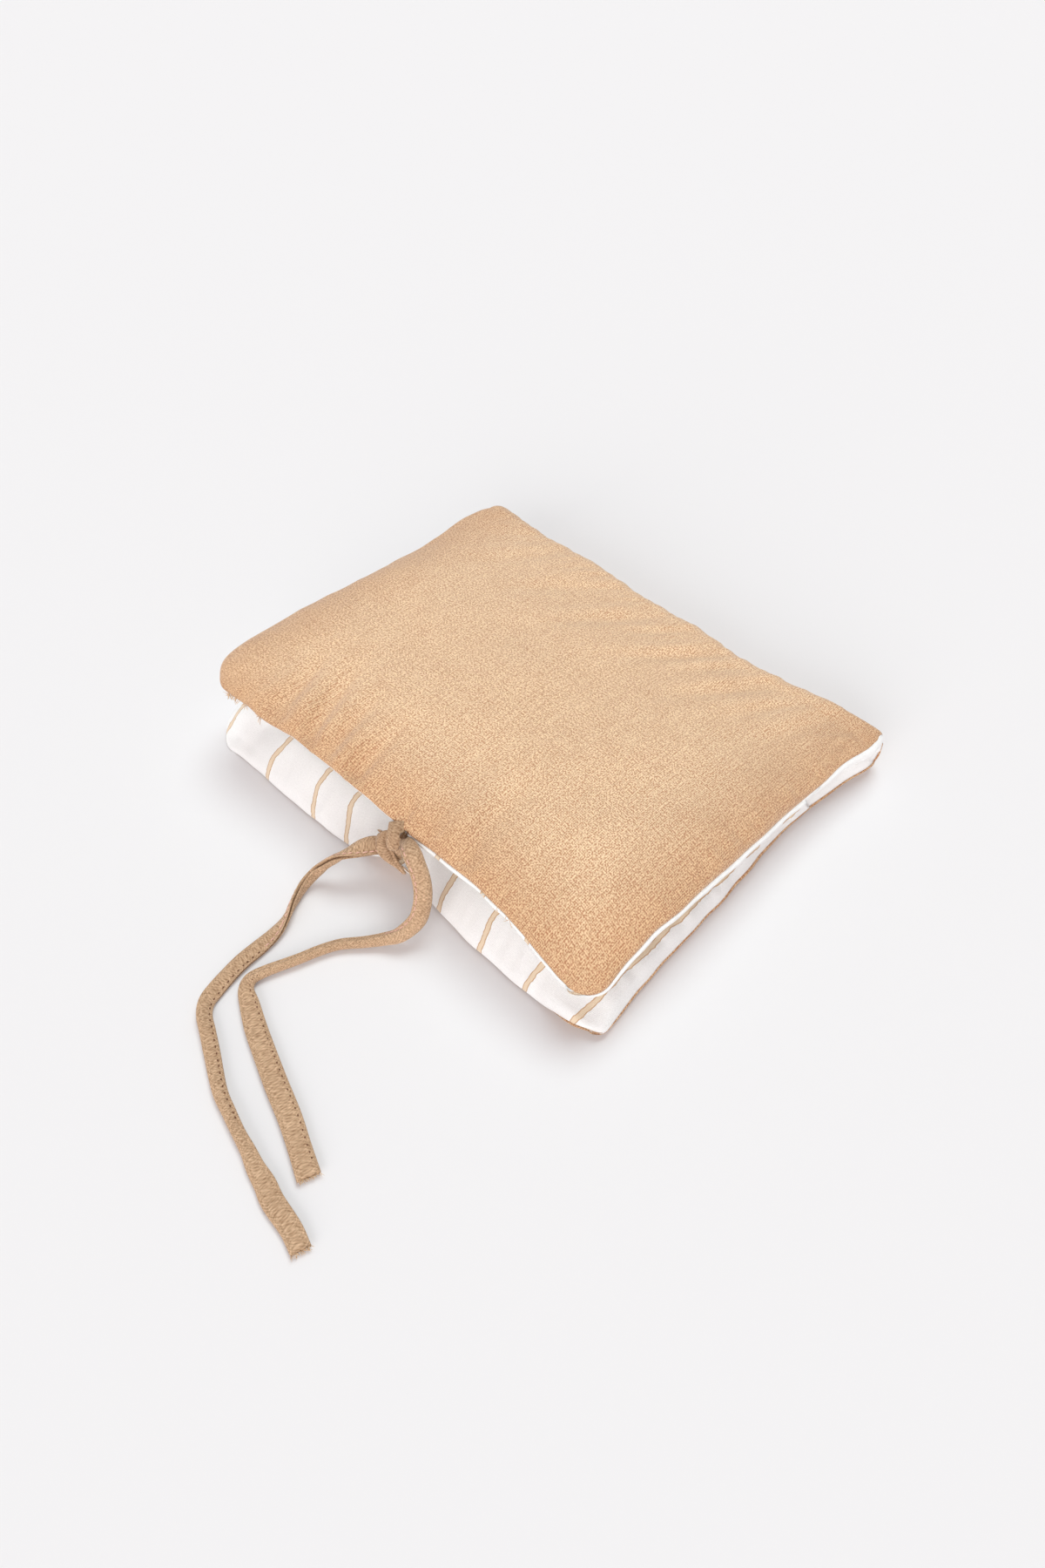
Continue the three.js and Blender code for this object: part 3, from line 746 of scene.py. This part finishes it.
# The upper cover.
# The big sand panel. It is crowned over the wadding, droops at the near corner, is pulled down by
# the tie, and wrinkles where the pad is folded double behind. Each crease is x, y, its slant, how
# far it reaches along y, its width and its depth.


def crease(x, y, at_x, at_y, slant, reach, width, depth):
    """A hollow across the cloth with a lower ridge along its left."""
    off = x - at_x - slant * (y - at_y)
    return -depth * (bell(off, width) - 0.45 * bell(off + 1.9 * width, width)) * bell(y - at_y, reach)


front_creases = (
    (-57, -78, -0.35, 27, 5.6, 4.2),
    (-23, -86, -0.06, 23, 5.6, 4.5),
    (-76, -80, -0.2, 19, 5.0, 2.6),
    (9, -92, -0.6, 15, 4.5, 2.2),
    (42, -78, -0.2, 30, 6.0, 2.8),
    (-41, -80, -0.2, 21, 4.5, 3.0),
    (-8, -82, -0.3, 19, 5.5, 1.6),
)
fold_creases = (
    (-74, 70, 0.5, 20, 5.5, 0.7),
    (-45, 66, 0.6, 22, 5.5, 0.9),
    (-10, 70, 0.6, 24, 4.6, 1.5),
    (12, 80, 0.7, 12, 3.2, 0.9),
    (29, 72, 0.75, 22, 4.6, 1.5),
    (46, 78, 0.6, 13, 3.2, 0.9),
    (59, 70, 0.53, 22, 4.4, 1.7),
    (79, 73, 0.42, 20, 4.4, 1.4),
    (97, 72, 0.3, 17, 4.0, 0.9),
)


def upper_cover_relief(x, y, edge, edge_side, edge_front):
    back = back_y - y
    slant = x + 0.6 * np.minimum(back, 60)
    broad = 0.45 * bell(back - 15, 26) * waves(slant / 17, back / 70, 1.0)
    small = 0.5 * bell(back - 8, 16) * waves(slant / 6, back / 30, 2.0)
    crumple = 0.2 * bell(back - 4, 12) * waves(slant / 2.8, back / 10, 3.0)
    soft = 0.8 * waves(x / 34, y / 34, 9.0)
    front = bell(edge_front - 5, 7) * waves((x - 0.2 * y) / 6, y / 20, 4.0) * 0.45
    side = bell(edge_side - 5, 7) * waves(y / 6, x / 20, 4.5) * 0.3
    height = broad + small + crumple + soft + front + side
    for place in front_creases + fold_creases:
        height = height + crease(x, y, *place)
    return height * np.clip(edge / 3, 0, 1)


def upper_cover_roll(x, y, at_fold):
    return 0.7 * (1 - ease(x, 8, 30))


upper_cover, upper_rows = sewn_cloth(
    "upper_cover_cloth", upper_half, "outside", sand_cotton, 1.25, upper_cover_relief, upper_cover_roll
)
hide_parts("upper_cover", "upper_wadding", "fold_cover")
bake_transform(upper_cover)

# Loose fibres at the front seam.
# Short ends of the sand cotton stand out of the seam of the upper cover, mostly at its left end. A
# run of them is x from, x to, and how many.


def loose_ends(name, seam, runs, material, seed, reach, body):
    """Short threads that stand out of a seam, given as its row of points."""
    draw = random.Random(seed)
    threads = []
    for first, last, count in runs:
        for _ in range(count):
            at = draw.uniform(first, last)
            start = np.array([np.interp(at, seam[:, 0], seam[:, axis]) for axis in range(3)])
            aim = np.array((draw.uniform(-0.9, 0.9), -0.8, draw.uniform(-0.9, 0.1)))
            bend = np.array((draw.uniform(-0.8, 0.8), 0, draw.uniform(-0.6, 0.3)))
            long = reach * draw.uniform(0.4, 1)
            path = [start + aim * long * s + bend * long * s * s - aim * 0.5 for s in (0, 0.35, 0.7, 1)]
            threads.append((path, draw.uniform(0.12, 0.2)))
    ends = thread_piece(name, threads, material, sides=4)
    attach(ends, body)
    return ends


cover_fibre = thread_material("cover fibre", (0.45, 0.27, 0.15), (0.9, 0.66, 0.42))
fibre_runs = ((-113, -104, 16), (-100, -89, 22), (-82, -78, 7), (62, 80, 5))
fibres = loose_ends(
    "upper_cover_loose_fibres", upper_rows[0], fibre_runs, cover_fibre, 3, 2.8, "upper_half"
)

# The upper lining and its pocket.
# The same striped cloth under the upper half. From the middle of the front, round the near corner
# and along the right side, it is rolled out past the seam and shows as a white edge.


def upper_lining_relief(x, y, edge, edge_side, edge_front):
    return lining_gathers(x, y, edge, edge_side, edge_front, 15.0)


def upper_pocket_relief(x, y, edge, edge_side, edge_front):
    return upper_lining_relief(x, y, edge, edge_side, edge_front) + pocket_bag(x, y, edge, 33.0)


def upper_lining_roll(x, y, at_fold):
    at_corner = bell(np.hypot(x - 116, y + 97), 9)
    amount = 1.5 + 0.3 * waves((x + y) / 9, 0.3, 17.0) + 1.2 * at_fold
    return ease(x, 11, 24) * (1 - 0.3 * at_corner) * amount


upper_lining, lining_rows = sewn_cloth(
    "upper_lining_cloth", upper_half, "inside", striped_muslin, 1.6, upper_lining_relief, upper_lining_roll
)
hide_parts("upper_lining", "fold_lining", "fold_wadding")
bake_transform(upper_lining)
rim_ends = loose_ends(
    "upper_lining_loose_ends", lining_rows[0], ((60, 76, 9),), lining_thread, 8, 2.6, "upper_half"
)

upper_pocket, _ = sewn_cloth(
    "upper_pocket_cloth", upper_half, "inside", striped_muslin, 1.6, upper_pocket_relief, upper_lining_roll,
    pocket_window,
)
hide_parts("upper_pocket")
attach(upper_pocket, "upper_half")
upper_hem = pocket_hem(
    upper_half, "upper_half", "upper_pocket_hem_cloth", upper_pocket_relief
)
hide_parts("upper_pocket_hem")

# The ties.
# Two narrow tubes of the sand cotton, cut on the cross, their raw edges turned in and sewn shut
# along one side. One is caught in the front seam of each half, and they are knotted together once.
# Their long ends lie loose on the table: round and twisted at first, then flat. Each point of a
# route is x, y, z, width, height, and how far the tube is twisted, in degrees.
tie_cotton = cloth_material(
    "tie cotton", dark=(0.29, 0.16, 0.08), light=(0.83, 0.575, 0.375), threads=1.15, grain=0.4, bump=0.7,
    sheen=0.2,
)
tree, shader, plain = base_colour(tie_cotton)
# Painted shade: the tie is darkened along the groove at its sewn edge and at the start of each tube, where
# it lies hidden under the knot.
painted_tie_shade = tree.nodes.new("ShaderNodeAttribute")
painted_tie_shade.attribute_name = "painted_tie_shade"
feed(tree, shader, {"Base Color": add_mix(tree, painted_tie_shade.outputs["Fac"], plain, (0.1, 0.045, 0.015))})
section_points = 40
route_steps = 24
ring_pitch = 0.8
table_gap = 0.1
bias = np.array([[0.75, 0.66], [-0.66, 0.75]])
dark_reach = 11
stitch_inset = 1.6
stitch_pitch = 3.1


def smooth_route(route):
    """A smooth curve through a route's points, as rings at even steps and their distances along it."""
    rows = np.array(route, dtype=float)
    rows = np.vstack([2 * rows[0] - rows[1], rows, 2 * rows[-1] - rows[-2]])
    t = np.linspace(0, 1, route_steps, endpoint=False)[:, None]
    runs = []
    for a, b, c, d in zip(rows, rows[1:], rows[2:], rows[3:]):
        rise = (c - a) * t
        bend = (2 * a - 5 * b + 4 * c - d) * t**2
        turn = (3 * b - a - 3 * c + d) * t**3
        runs.append((2 * b + rise + bend + turn) / 2)
    dense = np.vstack([*runs, rows[-2:-1]])
    along = np.concatenate([[0], np.cumsum(np.linalg.norm(np.diff(dense[:, :3], axis=0), axis=1))])
    places = np.linspace(0, along[-1], round(along[-1] / ring_pitch) + 1)
    return places, np.stack([np.interp(places, along, column) for column in dense.T], axis=-1)


def tube_frames(rings):
    """The direction along, across and out of a tube at each of its rings."""
    centre = rings[:, :3]
    along = np.gradient(centre, axis=0)
    along /= np.linalg.norm(along, axis=1, keepdims=True)
    lying = ease(12 - centre[:, 2:3], 0, 8)
    out = (1 - lying) * np.array(view_back) + lying * np.array((0, 0, 1.0))
    out = out - (out * along).sum(axis=1, keepdims=True) * along
    out /= np.linalg.norm(out, axis=1, keepdims=True)
    over = np.cross(along, out)
    turn = np.radians(rings[:, 5:6])
    return along, np.cos(turn) * over + np.sin(turn) * out, np.cos(turn) * out - np.sin(turn) * over


def tube_section(angle, width, height, seam):
    """How far over and out of the centre a tube's skin is, with a narrow groove at its sewn edge."""
    power = 2 / np.clip(2 + (width / height - 1) * 0.5, 2, 3.2)
    over = np.sign(np.cos(angle)) * np.abs(np.cos(angle)) ** power * width / 2
    out = np.sign(np.sin(angle)) * np.abs(np.sin(angle)) ** power * height / 2
    at_edge = bell(1 - seam * np.cos(angle), 0.03)
    at_stitches = bell(over * seam - (width / 2 - stitch_inset), 0.5)
    return over - seam * np.minimum(1.3, 0.4 * height) * at_edge, out * (1 - 0.32 * at_stitches)


def cloth_tube(name, route, seam, seed, deep_start, wrinkle=0.12, uneven_end=0.6):
    """A cloth tube along a route, closed at both ends, with painted shade along the groove at its sewn edge
    and over its start, stronger the deeper it lies.

    Returns it, and what its stitches need: its places, rings and frames, and its sewn side.
    """
    places, rings = smooth_route(route)
    along, over, out = tube_frames(rings)
    angle = np.linspace(0, 2 * math.pi, section_points, endpoint=False)
    width, height = rings[:, 3:4], rings[:, 4:5]
    across, outward = tube_section(angle[None, :], width, height, seam)
    crease = waves(places[:, None] / 7, np.cos(angle)[None, :] * 1.6 + seed, seed)
    fine = waves(places[:, None] / 2.2, np.cos(angle)[None, :] * 1.1 + 9, seed + 3)
    swell = 1 + wrinkle * (0.75 * crease + 0.45 * fine) / (0.35 * height)
    outward = outward * swell
    points = rings[:, None, :3] + across[..., None] * over[:, None] + outward[..., None] * out[:, None]
    frayed = bell(places[-1] - places, 1.5)[:, None] * uneven_end
    jag = frayed * waves(np.cos(angle)[None, :] * 3.5, np.sin(angle)[None, :] + 0 * width, seed + 5)
    points = points + jag[..., None] * along[:, None]
    narrowed, tips = [], []
    for end, inward in ((0, 1), (-1, -1)):
        middle = rings[end, :3]
        narrowed.append(middle + (points[end] - middle) * 0.72 - inward * 0.1 * along[end])
        tips.append(middle + inward * 0.3 * along[end])
    skin = np.stack([narrowed[0], *points, narrowed[1]])
    skin[..., 2] = np.maximum(skin[..., 2], table_gap)
    index = np.arange(skin.shape[0] * section_points).reshape(-1, section_points)
    nextdoor = np.roll(index, -1, axis=1)
    quads = np.stack([index[:-1], index[1:], nextdoor[1:], nextdoor[:-1]], axis=-1).reshape(-1, 4)
    ends = [(index.size, int(a), int(b)) for a, b in zip(index[0], nextdoor[0])]
    ends += [(index.size + 1, int(b), int(a)) for a, b in zip(index[-1], nextdoor[-1])]
    girth = np.linspace(0, 1, section_points, endpoint=False)[None, :] * 2.2 * width.mean()
    flat = np.stack([girth + 0 * width, places[:, None] + 0 * girth], axis=-1)
    flat = np.vstack([flat[:1], flat, flat[-1:]]).reshape(-1, 2)
    flat = np.vstack([flat, flat[0], flat[-1]]) @ bias
    tube = new_piece(name, np.vstack([*skin, *tips]), quads.tolist() + ends, tie_cotton, flat)
    # Painted shade along the groove of the sewn edge, and over the start of the tube by how deep it lies.
    at_seam = bell(1 - seam * np.cos(angle), 0.012)[None, :] + 0 * width
    painted_tie_shade = np.maximum(at_seam, deep_start * bell(places, dark_reach)[:, None])
    painted_tie_shade = np.concatenate([painted_tie_shade[:1], painted_tie_shade, painted_tie_shade[-1:]]).ravel()
    shade = tube.data.attributes.new("painted_tie_shade", "FLOAT", "POINT")
    shade.data.foreach_set("value", np.concatenate([painted_tie_shade, [0, 0]]).astype(np.float32))
    return tube, (places, rings, (along, over, out), seam)


tie_thread = thread_material("tie thread", (0.62, 0.33, 0.25), (0.95, 0.66, 0.55))
raw_edge = thread_material("raw edge", (0.22, 0.12, 0.06), (0.55, 0.36, 0.22))
# Painted shade: the sunk stitches are a near-black copy of the tie thread, for the shade in the dimples
# where they sink in.
sunk_stitch_shade = thread_material("sunk thread", (0.09, 0.035, 0.015), (0.26, 0.12, 0.06))
loose_fibre = thread_material("tie fibre", (0.5, 0.3, 0.15), (0.92, 0.68, 0.42))


def seam_stitches(tube, first, last, length):
    """Running stitches a little in from the sewn edge of a tube, between two distances along it."""
    places, rings, (along, over, out), seam = tube
    half = length / 2
    lie = [(-half, -0.3), (-0.7 * half, 0.08), (0, 0.14), (0.7 * half, 0.08), (half, -0.3)]
    threads = []
    for at in np.arange(first, last, stitch_pitch):
        row = int(np.argmin(np.abs(places - at)))
        width, height = rings[row, 3:5]
        inside = width / 2 - stitch_inset
        spread, lift = tube_section(np.linspace(0.05, math.pi - 0.05, 90), width, height, seam)
        nearest = int(np.argmin(np.abs(spread * seam - inside)))
        middle = rings[row, :3] + seam * inside * over[row] + (lift[nearest] + 0.16) * out[row]
        threads.append(([middle + step * along[row] + rise * out[row] for step, rise in lie], 0.32))
    return threads


def frayed_end(tube, count, seed):
    """Fibres that stand out of the cut end of a tube and keep clear of the table."""
    _, rings, frames, _ = tube
    along, over, out = (direction[-1] for direction in frames)
    draw = random.Random(seed)
    threads = []
    for _ in range(count):
        spot = draw.uniform(-1, 1)
        start = rings[-1, :3] + spot * rings[-1, 3] * 0.47 * over + draw.uniform(-0.4, 0.4) * out
        aim = along + draw.uniform(-0.7, 0.7) * over + draw.uniform(-0.35, 0.4) * out
        curl = draw.uniform(-0.5, 0.5)
        reach = draw.uniform(0.8, 2.6)
        step = np.array([[0], [0.3], [0.65], [1]])
        path = start + aim * reach * step + over * curl * step * step * reach - along * 0.5
        path[:, 2] = np.maximum(path[:, 2], 0.25)
        threads.append((path, draw.uniform(0.07, 0.13)))
    return threads


left_route = [
    (4.6, -99.6, 22.6, 5, 3, 0), (1.3, -100.4, 21.6, 7.8, 3, -6), (-1.2, -102.6, 21.6, 8.6, 2.9, -12),
    (-4.4, -106.4, 20.6, 8.2, 2.8, -26), (-8.2, -111, 18.4, 7.4, 3.2, -62),
    (-12.6, -115.6, 14.6, 6.4, 4, -98), (-16.4, -119.2, 10, 6, 4.2, -106), (-18.8, -124, 5.8, 6, 4, -102),
    (-18.7, -131, 3.4, 6.2, 3.8, -92), (-15.6, -139, 2.6, 6.6, 3.4, -76), (-12, -146.5, 2.1, 7, 2.8, -48),
    (-9.9, -154.6, 1.6, 7.4, 2.2, -16), (-9.3, -163.1, 1.4, 7.8, 1.8, 0), (-9.2, -171.8, 1.4, 8, 1.8, 0),
    (-8.2, -179.5, 1.4, 8, 1.8, 0), (-6.3, -188.4, 1.5, 7.8, 2, 8), (-4, -195, 1.7, 7.2, 2.4, 22),
    (0.5, -199.5, 1.9, 6.8, 2.6, 20), (7.7, -203.2, 1.7, 6.8, 2.4, 8), (16, -207.5, 1.6, 6.8, 2.2, 0),
    (31.4, -215.4, 1.7, 6.2, 2.4, 0), (41.8, -218.7, 1.8, 5.8, 2.6, 0), (51.3, -221.4, 1.8, 5.6, 2.6, 0),
    (59.3, -223.3, 1.6, 6.2, 2.2, 0), (66.6, -225.5, 1.4, 7.4, 1.8, 0), (74.2, -227.1, 1.3, 8.6, 1.6, 0),
    (81.5, -229.3, 1.3, 9, 1.6, 0), (94.4, -231.2, 1.3, 8.6, 1.6, 0), (102.8, -233.7, 1.3, 8.4, 1.6, 0),
]
right_route = [
    (8.4, -95.2, 27.4, 4.6, 3.8, 0), (11.4, -95.9, 29.4, 5.6, 4.4, 0), (14.6, -96.8, 31.6, 6.8, 5.2, 0),
    (18, -97.9, 33.4, 7.6, 6, 0), (21.2, -99.4, 34.6, 8.2, 6.4, 0), (24, -100.6, 34.4, 8.4, 6.5, 0),
    (26.8, -101.7, 32.8, 8.2, 6.4, 0), (29.7, -102.8, 29.8, 8.2, 6.2, 0), (32.3, -104.2, 26.5, 8.2, 6, 0),
    (34.5, -106.2, 22.9, 8.2, 6, 0), (36, -109, 18, 8.2, 6, 0), (36.5, -113, 13, 8, 6, 0),
    (33.5, -120, 7.2, 7, 5.6, 0), (28, -125.5, 4, 5.8, 5, 0), (22.1, -131.9, 2.8, 5.2, 4.6, 0),
    (15.7, -139, 2.5, 5, 4.4, 0), (11.8, -146.4, 2.5, 4.8, 4.4, 0), (8.2, -155.9, 2.5, 4.8, 4.4, 0),
    (4.9, -163.4, 2.4, 5, 4.2, 0), (2.2, -169.7, 2.2, 5.4, 3.6, 0), (0.7, -175.6, 1.9, 6, 3, 0),
    (3.2, -180.2, 1.7, 6.8, 2.6, 0), (9.7, -183.6, 1.5, 8.4, 2, 0), (20.2, -188.7, 1.4, 9.4, 1.8, 0),
    (32.6, -193.7, 1.4, 9.6, 1.8, 0), (46.3, -199, 1.4, 9.8, 1.8, 0), (60.5, -204.1, 1.4, 9.7, 1.8, 0),
    (72.2, -209.1, 1.4, 9.4, 1.8, 0), (84, -214.3, 1.4, 9.8, 1.8, 0),
]

# The stitches lie on the surface of the round stretch, from one distance along it to another, and
# sink in as small dots on the flat one. The right tie turns over, so its dots lie on its other side.
long_stitch = 2.4
sunk_stitch = 0.75
# The last number of each tie is the strength of the painted shade at its start, where it lies under the
# knot.
for side, route, seam, sewn, dotted, dotted_seam, seed, deep in (
    ("left", left_route, -1, (4, 80), (83, 172), -1, 21, 0.3),
    ("right", right_route, 1, (14, 64), (118, 214), -1, 23, 0.9),
):
    tail, tube = cloth_tube(f"{side}_tie_end", route, seam, float(seed), deep)
    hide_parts(f"{side}_tie_tail")
    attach(tail, "lower_half")
    long_threads = seam_stitches(tube, *sewn, long_stitch)
    sunk_threads = seam_stitches((*tube[:3], dotted_seam), *dotted, sunk_stitch)
    trims = [
        thread_piece(f"{side}_tie_stitches", long_threads, tie_thread),
        thread_piece(f"{side}_tie_sunk_stitches", sunk_threads, sunk_stitch_shade),
        thread_piece(f"{side}_tie_fray", frayed_end(tube, 46, seed), loose_fibre, sides=4),
    ]
    for trim in trims:
        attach(trim, "lower_half")

# The knot.
# The tie of the upper half comes down from its seam and is tucked in. The tie of the lower half is
# drawn tight round it, a leaf-shaped fold that narrows to the seam below, with a turn in the dark
# behind it.
upper_strand_route = [
    (6.8, -93.6, 36.4, 6.8, 3.6, 0), (8.8, -95.6, 35.3, 7.8, 3.8, 0), (10, -97.2, 34.2, 7.8, 4, 0),
    (10.6, -98.6, 32.6, 7.4, 4.2, 0), (10.6, -99.8, 30.8, 6.6, 4.2, 0), (10.3, -100.4, 29, 5.4, 4, 0),
    (9.9, -100.4, 27.4, 3.2, 3, 0),
]
knot_route = [
    (5.4, -97.4, 32, 2, 1.6, 0), (3.9, -98.8, 29.9, 4.2, 2.6, 0), (3.6, -99.9, 27, 6.0, 3.6, 0),
    (4.6, -100.9, 24.2, 6.7, 4, 0), (6.3, -101.1, 21.9, 6.5, 3.8, 0), (8.6, -100.8, 19.4, 5, 3.2, 0),
    (11.2, -100.2, 16.9, 3.2, 2.6, 0), (13, -99.6, 14.2, 2.2, 2, 0), (13.6, -98.8, 11.4, 1.8, 1.8, 0),
]
inner_fold_route = [
    (1.6, -98.4, 28.6, 2, 1.6, 0), (0.9, -99.3, 26.2, 3.6, 2.6, 0), (1.4, -100.2, 23.4, 4.2, 3, 0),
    (3.2, -100.6, 20.9, 3.8, 2.6, 0), (5.6, -100.2, 18.8, 2, 1.6, 0),
]
behind_route = [
    (2.5, -97, 27, 5, 4, 0), (6, -97.2, 26.6, 7, 4.6, 0), (10.4, -96.8, 26.4, 7, 4.6, 0),
    (13.6, -96.4, 27.6, 5, 4, 0),
]
inner_turn_route = [
    (14.6, -95.9, 37.2, 2.2, 1.8, 0), (13.4, -96.2, 34.6, 3.6, 2.4, 0), (11.8, -96.3, 31, 4.4, 2.8, 0),
    (10.2, -96.6, 27, 4.6, 2.8, 0), (9.3, -97, 22.6, 4.4, 2.6, 0), (9.4, -97.4, 19, 3.6, 2.4, 0),
    (10.4, -97.6, 17, 2.2, 1.8, 0),
]
# The last number of each strand is the strength of the painted shade at its start. The hidden inner turn is
# painted darkest, as the shade in the gaps of the knot.
for name, route, body, node, seed, deep in (
    ("upper_tie_strand", upper_strand_route, "upper_half", "upper_tie_root", 41.0, 0.3),
    ("tie_knot_band", knot_route, "lower_half", "lower_tie_root", 43.0, 0.3),
    ("tie_knot_fold", inner_fold_route, "lower_half", "tie_knot", 45.0, 0.3),
    ("tie_knot_behind", behind_route, "lower_half", "tie_knot", 47.0, 0.3),
    ("tie_knot_inner_turn", inner_turn_route, "lower_half", "tie_knot", 49.0, 1.8),
):
    strand, _ = cloth_tube(name, route, -1, seed, deep, wrinkle=0.2, uneven_end=0.0)
    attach(strand, body)
    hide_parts(node)

# The stub of thread at the knot.
# Nine cut ends of the seam's thread stand out at the left of the knot, in a small dark tuft.
stub_place = (2.9, -98.4, 29.6)
stub_radius = 0.24
draw = random.Random(5)
stub = []
for _ in range(9):
    start = np.array(stub_place) + [draw.uniform(-0.5, 0.5) for _ in range(3)]
    end = start + (-2.2 + draw.uniform(-0.9, 0.7), -0.6, 1.2 + draw.uniform(-0.9, 0.9))
    stub.append(([start, start * 0.6 + end * 0.4 + (0, -0.2, 0.3), end], stub_radius))
knot_stub = thread_piece("tie_knot_thread_stub", stub, raw_edge)
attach(knot_stub, "lower_half")
